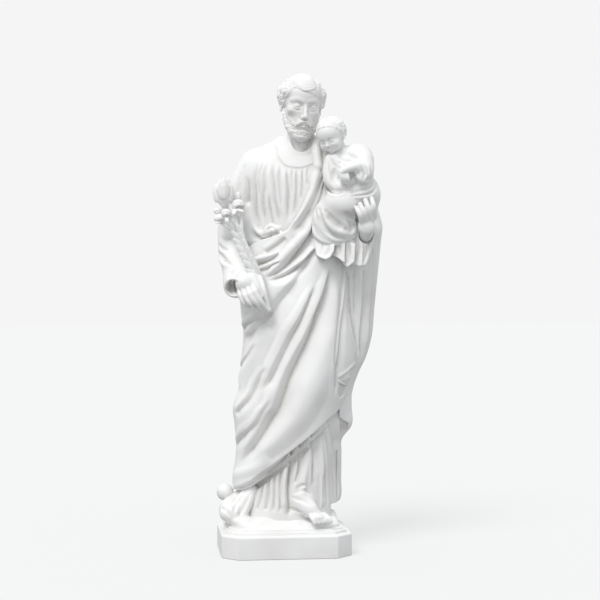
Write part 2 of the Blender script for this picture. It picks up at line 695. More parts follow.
def man_skull(clay, p):
    """Head without features: brain case, mask, cheekbones, muzzle, jaw and chin."""
    k = p.scale
    clay.add(p.ball((0, 0.05, 0.13), (0.315, 0.40, 0.345)))
    clay.add(p.ball((0, -0.11, -0.08), (0.250, 0.235, 0.35)), 0.06 * k)
    clay.add(p.ball((0, -0.115, 0.17), (0.245, 0.235, 0.22)), 0.06 * k)
    clay.add(p.ball((0, -0.19, -0.30), (0.165, 0.155, 0.170)), 0.08 * k)
    clay.add(p.ball((0, -0.262, -0.27), (0.100, 0.105, 0.105)), 0.05 * k)
    clay.add(p.ball((0, -0.300, -0.43), (0.070, 0.062, 0.055)), 0.06 * k)
    for s in (-1, 1):
        clay.add(p.ball((s * 0.165, -0.205, -0.085), (0.080, 0.082, 0.060)), 0.08 * k)
        clay.cut(p.ball((s * 0.275, -0.28, 0.11), (0.05, 0.09, 0.11)), 0.06 * k)
        clay.cut(p.ball((s * 0.215, -0.275, -0.215), (0.040, 0.060, 0.080)), 0.07 * k)
        brow = mirrored(((0.205, -0.235, 0.080), (0.130, -0.300, 0.104), (0.040, -0.326, 0.084)), s)
        clay.add(p.limb(brow, (0.018, 0.026, 0.024)), 0.05 * k)


def child_skull(clay, p):
    """A round head with a full forehead, full cheeks and a short chin."""
    k = p.scale
    clay.add(p.ball((0, 0.05, 0.10), (0.355, 0.42, 0.37)))
    clay.add(p.ball((0, -0.12, -0.10), (0.275, 0.235, 0.305)), 0.08 * k)
    clay.add(p.ball((0, -0.155, 0.11), (0.270, 0.225, 0.22)), 0.08 * k)
    clay.add(p.ball((0, -0.250, -0.24), (0.085, 0.095, 0.080)), 0.06 * k)
    clay.add(p.ball((0, -0.262, -0.345), (0.065, 0.055, 0.048)), 0.07 * k)
    for s in (-1, 1):
        clay.add(p.ball((s * 0.150, -0.215, -0.185), (0.115, 0.110, 0.110)), 0.08 * k)


def eyes(clay, p, x, height, front, size, opening):
    """Lowered lids over each eye: a soft hollow under the brow, a ball that melts into the face,
    an upper lid cut to a line, its crease, and a soft lower lid."""
    k = p.scale
    deep = front + size
    for s in (-1, 1):
        clay.cut(p.ball((s * (x - 0.058), front - 0.045, height + 0.008), (0.030, 0.050, 0.034)), 0.035 * k)
        clay.cut(p.ball((s * (x + 0.008), front - 0.040, height + 0.046), (0.062, 0.045, 0.018)), 0.030 * k)
        clay.cut(p.ball((s * (x + 0.005), front - 0.036, height - 0.052), (0.062, 0.040, 0.016)), 0.034 * k)
        centre = (s * x, deep, height - 0.004)
        clay.add(p.ball(centre, size * 0.94), 0.016 * k)
        clay.add(p.lid(centre, size * 1.03, height - opening, -0.12 * s), 0.007 * k)
        inner, outer = x - 1.15 * size, x + 1.20 * size
        lash = mirrored(((inner, deep - 0.72 * size, height - 0.012),
                         (x - 0.4 * size, deep - 0.95 * size, height - opening - 0.004),
                         (x + 0.4 * size, deep - 0.92 * size, height - opening - 0.008),
                         (outer, deep - 0.40 * size, height - 0.018)), s)
        clay.cut(p.limb(lash, (0.003, 0.0055, 0.0055, 0.003)), 0.005 * k)
        crease = mirrored(((inner, deep - 0.75 * size, height + 0.008),
                           (x - 0.3 * size, deep - 0.85 * size, height + 0.62 * size),
                           (x + 0.4 * size, deep - 0.80 * size, height + 0.58 * size),
                           (outer, deep - 0.30 * size, height)), s)
        clay.cut(p.limb(crease, (0.003, 0.005, 0.005, 0.003)), 0.008 * k)
        low = mirrored(((inner, deep - 0.66 * size, height - 0.022),
                        (x, deep - 0.86 * size, height - 0.72 * size),
                        (outer, deep - 0.30 * size, height - 0.024)), s)
        clay.add(p.limb(low, (0.006, 0.009, 0.006)), 0.014 * k)


def nose(clay, p, root, tip, base, width):
    """Bridge, rounded tip and wings, melted into the cheeks."""
    k = p.scale
    bridge = (root, (0, 0.45 * root[1] + 0.55 * tip[1], 0.5 * root[2] + 0.5 * tip[2]), tip)
    clay.add(p.limb(bridge, (0.026 * width, 0.026 * width, 0.030 * width)), 0.036 * k)
    behind = ((0, root[1] + 0.020, root[2] - 0.030), (0, tip[1] + 0.062, tip[2] + 0.008))
    clay.add(p.limb(behind, (0.020 * width, 0.040 * width)), 0.030 * k)
    clay.add(p.ball((0, tip[1] + 0.004, tip[2]), (0.033 * width, 0.030, 0.028)), 0.016 * k)
    clay.add(p.ball((0, tip[1] + 0.050, base + 0.006), (0.036 * width, 0.050, 0.022)), 0.020 * k)
    for s in (-1, 1):
        wing = (s * 0.042 * width, tip[1] + 0.055, base + 0.016)
        clay.add(p.ball(wing, (0.024 * width, 0.036, 0.025)), 0.018 * k)
        crease = mirrored(((0.060 * width, tip[1] + 0.065, base + 0.044),
                           (0.071 * width, tip[1] + 0.085, base + 0.014),
                           (0.060 * width, tip[1] + 0.085, base - 0.012)), s)
        clay.cut(p.limb(crease, (0.003, 0.006, 0.004)), 0.010 * k)
        clay.cut(p.ball((s * 0.022 * width, tip[1] + 0.034, base - 0.012), (0.012, 0.018, 0.009)), 0.007 * k)


def mouth(clay, p, height, front, width, full):
    """Closed lips, level at the corners, with a soft hollow below."""
    k = p.scale
    clay.cut(p.ball((0, front - 0.020, height - 0.072), (0.060, 0.030, 0.018)), 0.034 * k)
    upper = ((-width, front + 0.040, height), (-0.42 * width, front + 0.006, height + 0.014 * full),
             (0, front + 0.003, height + 0.010 * full), (0.42 * width, front + 0.006, height + 0.014 * full),
             (width, front + 0.040, height))
    clay.add(p.limb(upper, (0.007, 0.013 * full, 0.013 * full, 0.013 * full, 0.007)), 0.012 * k)
    lower = ((-0.86 * width, front + 0.034, height - 0.010), (0, front + 0.006, height - 0.024 * full),
             (0.86 * width, front + 0.034, height - 0.010))
    clay.add(p.limb(lower, (0.008, 0.019 * full, 0.008)), 0.012 * k)
    parting = ((-1.15 * width, front + 0.036, height - 0.003),
               (-0.45 * width, front - 0.006, height - 0.001),
               (0, front - 0.010, height - 0.005),
               (0.45 * width, front - 0.006, height - 0.001),
               (1.15 * width, front + 0.036, height - 0.003))
    clay.cut(p.limb(parting, (0.004, 0.0065, 0.007, 0.0065, 0.004)), 0.005 * k)


def ear(clay, p, s, centre, size):
    """A rim round a hollow, with a lobe."""
    k = p.scale
    x, y, z = s * centre[0], centre[1], centre[2]
    clay.add(p.ball((x, y, z), (size * 0.30, size * 0.62, size)), 0.010 * k)
    rim = [(x + s * size * 0.16, y + size * 0.62 * math.sin(a), z + size * math.cos(a))
           for a in np.linspace(-0.6, 3.3, 9)]
    clay.add(p.limb(rim, 0.18 * size), 0.004 * k)
    shell = (x + s * size * 0.34, y - 0.02 * size, z + size * 0.1)
    clay.cut(p.ball(shell, (size * 0.28, size * 0.34, size * 0.55)), 0.006 * k)
    clay.add(p.ball((x + s * size * 0.05, y - size * 0.15, z - size * 0.92), size * 0.26), 0.008 * k)


def hair_point(cap, middle, about, down):
    """A point on a cap of hair: degrees about from the front, degrees down from the crown."""
    a, b = math.radians(about), math.radians(down)
    return (middle[0] + cap[0] * math.sin(b) * math.sin(a), middle[1] - cap[1] * math.sin(b) * math.cos(a),
            middle[2] + cap[2] * math.cos(b))


def combed_cap(p, cap, middle, line, comb):
    """A cap behind the hairline, its surface combed: comb gives the height of the hair at a place."""
    ball = p.ball(middle, cap)

    def at(x, y, z):
        lx, ly, lz = p.inside(x, y, z)
        bare = np.maximum(line(lx, lz) - ly, -0.20 - lz)
        body = ball.at(x, y, z) - comb(lx, ly, lz) * p.scale
        return joined_low(body, bare * p.scale * 0.8, 0.05 * p.scale)

    pad = 0.04 * p.scale
    return Form(at, ball.low - pad, ball.high + pad)


def joined_low(a, b, melt):
    """What two rules share, rounded along the edge."""
    return -joined(-a, -b, melt)


def lock(clay, p, points, width, melt=0.006):
    """A lock of hair: full in the middle and thin at the end."""
    t = np.linspace(0, 1, len(points))
    radii = width * np.clip(0.55 + 3.0 * t * (1 - t) - 0.45 * t, 0.16, 1.2)
    clay.add(p.limb(points, radii, 4), melt * p.scale)


def whorl(p, centre, out, size, phase, hand, high=0.75, turns=1.9, carve=0.15):
    """A carved curl: a low dome with a groove that winds to its middle."""
    k = p.scale
    out = np.asarray(out, float) / np.linalg.norm(out)
    side = np.cross(out, (0.0, 0.1, 1.0))
    side = side / np.linalg.norm(side)
    up = np.cross(side, out)
    centre = np.asarray(centre, float)

    def at(x, y, z):
        lx, ly, lz = p.inside(x, y, z)
        lx, ly, lz = lx - centre[0], ly - centre[1], lz - centre[2]
        u = lx * side[0] + ly * side[1] + lz * side[2]
        v = lx * up[0] + ly * up[1] + lz * up[2]
        w = (lx * out[0] + ly * out[1] + lz * out[2]) / high
        flat = np.sqrt(u * u + v * v) / size
        dome = (np.sqrt(u * u + v * v + w * w) - size) * (0.5 + 0.5 * high)
        wind = np.cos(np.arctan2(v, u) * hand + 2 * math.pi * turns * flat + phase)
        cut = carve * size * (1 - wind) * np.clip(flat * 4, 0, 1)
        return ((dome + cut) * k).astype(np.float32)

    middle = p.to([centre])[0]
    return Form(at, middle - 1.05 * size * k, middle + 1.05 * size * k)


def row_of_curls(s, row, first, count):
    """Number, degrees about, phase and hand of each curl in a row, from beside the face to the back."""
    for i in range(count):
        about = s * (first + (180 - first) * (i + 0.5 * (row % 2)) / count)
        hand = 1 if math.sin(5.3 * i + 2.9 * row + s) > 0 else -1
        yield i, about, 2.2 * i + 1.3 * row + s, hand


# The man's head, in shares of its height from chin to crown
MAN_HEAD = Place((38, -24, 929), 129, turned(12, 9, 5))
MAN_BOX = ((-42, -115, 815), (120, 64, 1012))
MAN_CAP = (0.336, 0.435, 0.382)
HAIR_MIDDLE = (0, 0.055, 0.115)
PARTING = 0.17
# Masses of hair over the ears and nape: degrees about, degrees down, and size
HAIR_MASSES = ((78, 74, 0.100), (98, 80, 0.110), (122, 86, 0.058), (150, 88, 0.045), (92, 98, 0.080),
               (115, 104, 0.062), (140, 108, 0.050), (168, 100, 0.045))
# Rows of curls: degrees down, degrees about of the first, how many, and size
HAIR_ROWS = ((48, 74, 6, 0.070), (62, 66, 7, 0.082), (77, 64, 7, 0.088), (91, 68, 7, 0.086),
             (104, 76, 6, 0.080), (117, 90, 5, 0.072))


def man_hairline(x, z):
    """How far forward hair reaches: low over the forehead under the swept forelock, back at the temples,
    and down in front of the ears."""
    side = -0.175 - 0.62 * (z - 0.10) + 0.10 * np.abs(x)
    swept = 0.18 * (x < PARTING) * np.clip((x + 0.10) / 0.27, 0, 1) * 0.5
    edge = 0.262 - swept + 0.9 * np.clip(x - PARTING, 0, 1)
    edge = edge + 0.35 * np.clip(-x - 0.12, 0, 1)
    brow = -0.325 - 4.0 * (z - edge)
    return np.maximum(np.minimum(side, np.where(z > 0.15, brow, side)), -0.6)


def man_comb(x, y, z):
    """Strands that part at one side and sweep over the crown, then back and down."""
    across = np.abs(x - PARTING)
    flow = y + 0.62 * across ** 1.4 - 0.30 * (0.45 - z)
    wave = 1.1 * np.sin(8.0 * x + 4.0 * z) + 0.7 * np.sin(15.0 * z - 5.0 * y)
    strands = np.sin(2 * math.pi * flow / 0.085 + wave)
    fine = np.sin(2 * math.pi * flow / 0.029 + 2.2 * wave + 1.0)
    broad = np.sin(2 * math.pi * flow / 0.19 + 0.6 * wave + 0.5)
    groove = -0.020 * np.exp(-(across / 0.013) ** 2) * (y < 0.1)
    fade = 0.55 + 0.6 * np.clip((0.45 - z) / 0.3, 0, 1)
    return fade * (0.0060 * broad + 0.0050 * (1 - np.abs(strands) ** 0.7 * 1.4) + 0.0022 * fine) + groove


def man_hair(clay, p):
    """Wavy hair combed from a side parting, full and curled over the ears and at the nape."""
    k = p.scale
    clay.add(combed_cap(p, MAN_CAP, HAIR_MIDDLE, man_hairline, man_comb))
    for j in range(5):
        path = []
        for t in np.linspace(0, 1, 8):
            about = 30 - (58 + 8 * j) * t - 2.0 * j
            down = 60 - 5.0 * j + 9 * math.sin(math.pi * (0.10 + 0.75 * t)) - 8 * (1 - t) ** 2
            path.append(hair_point((0.332, 0.428, 0.380), HAIR_MIDDLE, about, down))
        lock(clay, p, path, 0.026, 0.014)
    for s in (-1, 1):
        for about, down, size in HAIR_MASSES:
            place = hair_point((0.295, 0.395, 0.34), HAIR_MIDDLE, s * about, down)
            clay.add(p.ball(place, size), 0.05 * k)
        for row, (down, first, count, size) in enumerate(HAIR_ROWS):
            for i, about, phase, hand in row_of_curls(s, row, first, count):
                low = math.exp(-((down - 86) / 24.0) ** 2)
                beside = math.exp(-((abs(about) - 98) / 50.0) ** 2)
                bulge = 1.0 + 0.12 * low * beside
                place = np.array(hair_point((0.338 * bulge, 0.428, 0.382), HAIR_MIDDLE, about, down))
                out = place - np.array(HAIR_MIDDLE)
                scale = size * (0.92 + 0.16 * math.sin(3.1 * i + 1.7 * row + s))
                curl = whorl(p, place - 0.10 * out, out, scale, phase, hand, 0.8, 1.5, 0.11)
                clay.add(curl, 0.020 * k)


def skin(clay, p, start, out):
    """Where a line from a point inside the head comes out of the clay."""
    out = np.asarray(out, float) / np.linalg.norm(out)
    steps = np.asarray(start, float) + np.linspace(0.02, 0.6, 120)[:, None] * out
    places = np.round((np.array(p.to(steps)) - clay.low) / clay.cell).astype(int)
    places = np.clip(places, 0, np.array(clay.d.shape) - 1)
    solid = clay.d[tuple(places.T)] < 0
    return steps[np.nonzero(solid)[0].max()] if solid.any() else steps[0]


def bearded(spot):
    """Whether a place on the head is under the line of the beard, and not on the lips."""
    x, y, z = abs(spot[0]), spot[1], spot[2]
    cheek = -0.315 + 0.95 * max(x - 0.085, 0) if y < -0.12 else -0.06
    lips = x < 0.085 and z > -0.365
    return z < cheek and not lips and z > -0.60


def man_beard(clay, p):
    """A short full beard in small curls, and a moustache combed to the sides."""
    k = p.scale
    for s in (-1, 1):
        jaw = mirrored(((0.275, -0.03, -0.10), (0.250, -0.085, -0.24), (0.185, -0.175, -0.37),
                        (0.08, -0.262, -0.450)), s)
        clay.add(p.limb(jaw, (0.026, 0.040, 0.056, 0.062)), 0.045 * k)
    clay.add(p.ball((0, -0.282, -0.470), (0.092, 0.080, 0.072)), 0.05 * k)
    curls = []
    for row in range(11):
        height = -0.09 - 0.040 * row
        for i in range(17):
            a = math.radians((i - 8 + 0.5 * (row % 2)) * 12.0)
            out = np.array((math.sin(a), -math.cos(a), -0.10 * max(row - 5, 0)))
            spot = skin(clay, p, (0, -0.10, height), out)
            if bearded(spot):
                curls.append((spot, out, 2.1 * i + 1.1 * row))
    for down in (28, 48, 68, 88):
        for about in range(-75, 90, 30):
            a, b = math.radians(about + 0.7 * down), math.radians(down)
            out = np.array((math.sin(a) * math.cos(b), -math.cos(a) * math.cos(b), -math.sin(b)))
            curls.append((skin(clay, p, (0, -0.25, -0.43), out), out, 0.1 * about + down))
    for spot, out, phase in curls:
        size = 0.037 + 0.006 * math.sin(1.9 * phase)
        spot = spot - 0.010 * out
        clay.add(whorl(p, spot, out, size, phase, 1 if spot[0] > 0 else -1, 0.70, 1.2, 0.14), 0.016 * k)
    for s in (-1, 1):
        for j in range(3):
            aside, drop = 0.008 * j, -0.014 * j
            points = ((0.010, -0.378, -0.228 - aside),
                      (0.048, -0.380 + 0.003 * j, -0.240 + drop * 0.6),
                      (0.092 + aside * 0.4, -0.352, -0.262 + drop),
                      (0.124 + aside * 0.3, -0.300, -0.312 + drop * 0.6))
            lock(clay, p, mirrored(points, s), 0.019, 0.012)
    for i in range(5):
        x = -0.032 + 0.016 * i
        points = ((x * 0.8, -0.356, -0.368), (x + 0.005 * math.sin(2 * i), -0.362, -0.392),
                  (x * 1.15, -0.352, -0.425))
        lock(clay, p, points, 0.013, 0.006)


def man_head(cell):
    """The man's bowed head: lowered lids, straight nose, beard, side-parted curls, and the neck."""
    p = MAN_HEAD
    k = p.scale
    head = Clay(*MAN_BOX, cell)
    man_skull(head, p)
    eyes(head, p, 0.121, 0.0, -0.328, 0.058, 0.016)
    for s in (-1, 1):
        hairs = mirrored(((0.200, -0.262, 0.086), (0.130, -0.326, 0.104), (0.050, -0.346, 0.086)), s)
        head.add(p.limb(hairs, (0.004, 0.009, 0.007)), 0.010 * k)
    nose(head, p, (0, -0.322, 0.045), (0, -0.418, -0.150), -0.185, 1.0)
    mouth(head, p, -0.292, -0.374, 0.072, 1.0)
    man_beard(head, p)
    for s in (1, -1):
        ear(head, p, s, (0.315, 0.035, -0.035), 0.085)
    head.add(Limb(((33, 2, 820), (35, -4, 862), (37, -8, 900)), (33, 27, 27)), 8)
    for x, shift in ((14, -14), (56, 14)):
        muscle = ((x, -14, 892), (35 + shift * 0.5, -26, 850), (36 + shift * 0.2, -27, 836))
        head.add(Limb(muscle, (6, 5, 4)), 14)
    hair = Clay(*MAN_BOX, cell)
    man_hair(hair, p)
    head.put(hair, 0.008 * k)
    return head


# The child's head
CHILD_HEAD = Place((99, -66, 862), 79, turned(-30, 13, -13))
CHILD_BOX = ((40, -130, 796), (162, -5, 918))
CHILD_CAP = (0.372, 0.452, 0.392)
CHILD_MIDDLE = (0, 0.05, 0.10)
# Rows of curls: degrees down, degrees about of the first, and how many
CHILD_ROWS = ((66, 84, 6), (80, 94, 6), (94, 102, 6), (107, 108, 5), (119, 118, 4))


def child_hairline(x, z):
    """How far forward hair reaches."""
    return -0.150 - 0.90 * (z - 0.10) + 0.05 * np.abs(x)


def child_comb(x, y, z):
    """Short soft waves combed forward and down from the crown."""
    about = np.arctan2(x, -(y - 0.10))
    wave = 1.2 * np.sin(13.0 * z + 2.0 * about)
    strands = np.sin(9.0 * about + wave)
    return 0.010 * (1 - np.abs(strands) ** 0.8 * 1.3) + 0.0035 * np.sin(27.0 * about + 1.5 * wave)


def child_head(cell):
    """A round head that leans on the man's neck: lowered lids, full cheeks, short waves behind the ear."""
    p = CHILD_HEAD
    k = p.scale
    head = Clay(*CHILD_BOX, cell)
    child_skull(head, p)
    eyes(head, p, 0.125, -0.055, -0.335, 0.058, 0.016)
    nose(head, p, (0, -0.335, -0.060), (0, -0.392, -0.170), -0.192, 0.95)
    mouth(head, p, -0.272, -0.348, 0.058, 1.05)
    for s in (1, -1):
        ear(head, p, s, (0.325, 0.03, -0.065), 0.085)
    head.add(Limb(((122, -38, 814), (108, -52, 845)), (19, 18)), 8)
    hair = Clay(*CHILD_BOX, cell)
    hair.add(combed_cap(p, CHILD_CAP, CHILD_MIDDLE, child_hairline, child_comb))
    for s in (-1, 1):
        for row, (down, first, count) in enumerate(CHILD_ROWS):
            for _, about, phase, hand in row_of_curls(s, row, first, count):
                place = np.array(hair_point((0.366, 0.446, 0.388), CHILD_MIDDLE, about, down))
                out = place - np.array(CHILD_MIDDLE)
                curl = whorl(p, place - 0.05 * out, out, 0.082, phase, hand, 0.7, 1.3, 0.11)
                hair.add(curl, 0.016 * k)
    head.put(hair, 0.010 * k)
    return head


def front(clay, x, z):
    """How far forward the clay reaches at a place seen from the front."""
    y = LAYOUT_Y
    for _ in range(3):
        px, _, pz = seen(x, z, y)
        i = int(np.clip(round((px - clay.low[0]) / clay.cell), 0, clay.d.shape[0] - 1))
        k = int(np.clip(round((pz - clay.low[2]) / clay.cell), 0, clay.d.shape[2] - 1))
        line = clay.d[i, :, k]
        solid = np.nonzero(line < 0)[0]
        if len(solid) == 0:
            return y
        j = max(solid[0], 1)
        share = np.clip(line[j - 1] / (line[j - 1] - line[j] - 1e-6), 0, 1)
        y = clay.low[1] + clay.cell * (j - 1 + share)
    return y


def laid(clay, path, lift):
    """Points on the clay's front along a path seen from the front, lifted towards the viewer."""
    flat = flowing(path, 5)
    depth = np.array([front(clay, x, z) for x, z in flat])
    for _ in range(4):
        depth[1:-1] = (depth[:-2] + 2 * depth[1:-1] + depth[2:]) / 4
    return [seen(x, z, y - rise) for (x, z), y, rise in zip(flat, depth, lift)]


def fullness(path, radius, ends):
    """Radii along a drawn path, thin at both ends."""
    t = np.linspace(0, 1, len(flowing(path, 5)))
    radii = np.interp(t, np.linspace(0, 1, np.size(radius)), np.atleast_1d(radius))
    return radii * (0.3 + 0.7 * smooth(t / ends) * smooth((1 - t) / ends))


def ridge(clay, path, radius, high=0.35, melt=4.0, ends=0.3):
    """A rounded fold laid on the clay; high is the share of its radius that it stands out."""
    radii = fullness(path, radius, ends)
    clay.add(Limb(laid(clay, path, (high - 1) * radii), radii, 1), melt)


def groove(clay, path, radius, deep=0.8, melt=2.5, ends=0.3):
    """A rounded valley cut in the clay; deep is the share of its radius that it sinks."""
    radii = fullness(path, radius, ends)
    melt = max(melt, 0.9 * float(np.max(radii)))
    clay.cut(Limb(laid(clay, path, (1 - deep) * radii), radii, 1), melt)


def ridges(clay, rows, melt, ends=0.3):
    """Folds, each as a path seen from the front, a half width and a height in half widths."""
    for path, radius, high in rows:
        ridge(clay, path, radius, high, melt, ends)


def grooves(clay, rows, melt):
    """Valleys, each as a path seen from the front, a half width and a depth in half widths."""
    for path, radius, deep in rows:
        groove(clay, path, radius, deep, melt)


def patch(clay, outline):
    """The block of clay behind an outline seen from the front: where it is, its depths, the distance
    outside the outline, and the flat plane that lies closest to the front of the clay there."""
    outline = np.asarray(outline, float)
    low = (outline[:, 0].min() - 4, clay.low[1] + clay.cell, outline[:, 1].min() - 4)
    high = (outline[:, 0].max() + 4, clay.axes[1][-1], outline[:, 1].max() + 4)
    where, (x, y, z) = clay.block(low, high)
    gap = outline_gap(outline, x, z)
    solid = clay.d[where] < 0
    first = solid.argmax(axis=1)[:, None, :]
    reach = y[0, 0, 0] + clay.cell * (first - 0.5)
    middle = outline.mean(axis=0)
    across = x - middle[0] + 0 * reach
    up = z - middle[1] + 0 * reach
    inside = (gap < -1) & solid.any(axis=1)[:, None, :]
    terms = np.stack((np.ones_like(across), across, up), axis=-1)
    plane = np.linalg.lstsq(terms[inside], reach[inside], rcond=None)[0]
    return where, y, gap, terms @ plane


def press(clay, outline, deep, melt=1.0):
    """Sets a patch back with crisp edges."""
    where, y, gap, sheet = patch(clay, outline)
    clay.d[where] = pared(clay.d[where], np.maximum(gap, y - sheet - deep), melt)


def lift(clay, outline, high, melt=1.5):
    """Raises a patch with crisp edges, as a layer of cloth laid on."""
    where, y, gap, sheet = patch(clay, outline)
    layer = np.maximum(np.maximum(gap, sheet - high - y), y - sheet - 6)
    clay.d[where] = joined(clay.d[where], layer, melt)


def flap(clay, outline, forward, across=0.0, up=0.0, deep=24.0, melt=2.5):
    """A hanging flap of cloth by its outline seen from the front; its face may slope across and up."""
    outline = np.asarray(outline, float)
    low = (outline[:, 0].min() - 4, forward - 22, outline[:, 1].min() - 4)
    high = (outline[:, 0].max() + 4, forward + deep + 14, outline[:, 1].max() + 4)
    where, (x, y, z) = clay.block(low, high)
    middle = outline.mean(axis=0)
    face = forward + across * (x - middle[0]) + up * (z - middle[1])
    layer = np.maximum(np.maximum(outline_gap(outline, x, z), face - y), y - face - deep)
    clay.d[where] = joined(clay.d[where], layer, melt)


def soften(clay, start, full, rounds):
    """Smooths the clay at the back, from a little at depth start to wholly at depth full."""
    y = clay.axes[1]
    first = int(np.searchsorted(y, start))
    share = smooth((y[first:] - start) / (full - start))[None, :, None].astype(np.float32)
    part = clay.d[:, first:, :]
    soft = np.clip(part, -3 * MANTLE_THICK, 3 * MANTLE_THICK)
    for _ in range(rounds):
        for axis in range(3):
            edge = [(0, 0)] * 3
            edge[axis] = (1, 1)
            wide = np.moveaxis(np.pad(soft, edge, mode="edge"), axis, 0)
            soft = 0.5 * soft + 0.25 * np.moveaxis(wide[2:] + wide[:-2], 0, axis)
    clay.d[:, first:, :] = part + (soft - part) * share


def strand(clay, points, radii, melt):
    """A limb through points given as (x, z, y) seen from the front."""
    clay.add(Limb([seen(*p) for p in points], radii), melt)


def hollow(clay, points, radii, melt):
    """Cuts out a limb through points given as (x, z, y) seen from the front."""
    clay.cut(Limb([seen(*p) for p in points], radii), melt)


def right_arm(cell):
    """The sleeve at the viewer's left, creased at the elbow, with its open cuff."""
    arm = Clay((-175, -145, 470), (-5, 60, 860), cell)
    upper = ((-52, 800, 4), (-82, 748, 2), (-100, 690, 0), (-103, 645, -8), (-101, 618, -22))
    strand(arm, upper, (38, 35, 32, 31, 28), 0)
    strand(arm, ((-101, 620, -20), (-97, 592, -48), (-91, 575, -70)), (29, 28, 24), 10)
    strand(arm, ((-96, 588, -52), (-96, 566, -72), (-97, 556, -84)), (25, 27, 25), 6)
    hollow(arm, ((-104, 548, -112), (-102, 552, -96), (-98, 556, -80)), (19, 16, 12), 3)
    grooves(arm, SLEEVE_VALLEYS, 3.5)
    ridges(arm, SLEEVE_RIDGES, 4)
    return arm


# Creases and folds of the sleeve
SLEEVE_VALLEYS = (
    (((-132, 624), (-125, 613), (-116, 604), (-104, 600)), (5, 6, 4), 0.9),
    (((-128, 655), (-116, 651), (-104, 654)), 3.5, 0.5),
    (((-132, 640), (-124, 632), (-112, 630)), 4, 0.5),
    (((-118, 568), (-110, 580), (-99, 587)), 4.5, 0.7),
    (((-112, 765), (-106, 730), (-96, 700)), (6, 7, 5), 0.45),
    (((-80, 800), (-92, 760), (-88, 715)), (6, 8, 5), 0.4),
)
SLEEVE_RIDGES = (
    (((-130, 612), (-121, 600), (-110, 594)), 5, 0.4),
    (((-94, 529), (-101, 543), (-104, 560), (-99, 574), (-86, 584), (-72, 583)), 3.2, 0.4),
    (((-116, 556), (-112, 572), (-102, 582)), 4, 0.4),
)


def right_hand(hands):
    """A relaxed hand, its long fingers together and pointing down the stalk."""
    strand(hands, ((-88, 590, -66), (-84, 574, -84), (-80, 562, -95)), (14, 14, 13), 0)
    hands.add(Ball(seen(-77, 560, -96), (20, 11, 21), turned(0, 0, -35)), 8)
    strand(hands, ((-64, 572, -90), (-54, 554, -98), (-44, 535, -99)), (10, 9, 6.5), 6)
    fingers = (
        (((-64, 560, -98), (-57, 543, -108), (-45, 523, -109), (-31, 505, -99)), 6.4),
        (((-73, 555, -100), (-67, 538, -111), (-57, 522, -112), (-44, 508, -101)), 6.2),
        (((-82, 552, -99), (-77, 535, -108), (-68, 520, -110), (-57, 509, -99)), 5.9),
        (((-90, 552, -93), (-87, 535, -101), (-79, 520, -103), (-69, 512, -94)), 5.4),
    )
    for points, r in fingers:
        radii = (r, r * 0.98, r * 0.88, r * 0.66)
        strand(hands, points, radii, 1.6)
        knuckle = seen(points[1][0], points[1][1], points[1][2] - 0.6)
        hands.add(Ball(knuckle, (r * 1.02, r * 0.98, r * 1.2)), 2)
    strand(hands, ((-58, 582, -82), (-47, 562, -90), (-41, 545, -92)), (7.5, 6.6, 5), 4)
    for path in (((-66, 566), (-61, 550)), ((-76, 560), (-71, 546)), ((-86, 556), (-82, 543))):
        groove(hands, path, 2.0, 0.5, 2)


def left_hand(hands):
    """The hand that holds the child, its long fingers laid over the cloth."""
    hands.add(Limb(((170, -30, 656), (171, -56, 664), (172, -74, 672)), (14, 14.5, 14)))
    hands.add(Ball(seen(172, 679, -84), (17.5, 11, 18), turned(0, 0, -12)), 9)
    fingers = (((163, 684), (158, 701), (150, 716), 5.4), ((172, 686), (166, 706), (158, 723), 5.8),
               ((181, 690), (176, 712), (169, 731), 5.8), ((187, 697), (186, 718), (182, 735), 5.2))
    for base, knee, tip, r in fingers:
        points = [seen(*base, -87), seen(*knee, -101), seen(*tip, -95)]
        hands.add(Limb(points, (r + 1.2, r, r - 1.0)), 2.2)


def both_hands(cell):
    """The man's hands, as one piece."""
    hands = Clay((-125, -140, 480), (205, -15, 760), cell)
    right_hand(hands)
    left_hand(hands)
    return hands


# The lily: its stalk, the leaves at the top of it as (root, tip, width), the petals of the tall flower
# as (x, top, depth, width), and the lines between them
LILY_STALK = ((-28, 506, -94), (-38, 545, -100), (-50, 580, -84), (-66, 612, -70), (-80, 640, -62),
              (-88, 672, -58), (-98, 700, -54), (-112, 728, -50))
TOP_LEAVES = (((-98, 668, -62), (-131, 688, -58), 9), ((-92, 676, -64), (-112, 700, -66), 8),
              ((-84, 660, -64), (-86, 704, -62), 8), ((-92, 668, -66), (-100, 706, -70), 8))
TALL_PETALS = ((-136, 764, -50, 17), (-108, 765, -50, 17), (-129, 774, -44, 18), (-115, 774, -46, 18),
               (-122, 777, -60, 20))
PETAL_LINES = (
    (((-138, 755), (-133, 738), (-125, 724)), 2.2, 0.8),
    (((-129, 762), (-126, 748), (-122, 730)), 1.4, 0.5),
    (((-114, 762), (-115, 748), (-118, 730)), 1.4, 0.5),
    (((-106, 760), (-108, 744), (-114, 728)), 1.8, 0.7),
)


def hood(clay, centre, size, mouth, hollow, tilt=0.0):
    """A flower seen from the side: a full rounded petal with an open mouth cut below it."""
    turn = turned(0, 0, tilt)
    clay.add(Ball(seen(*centre), size, turn), 1.2)
    clay.cut(Ball(seen(*mouth), hollow, turn), 1.2)


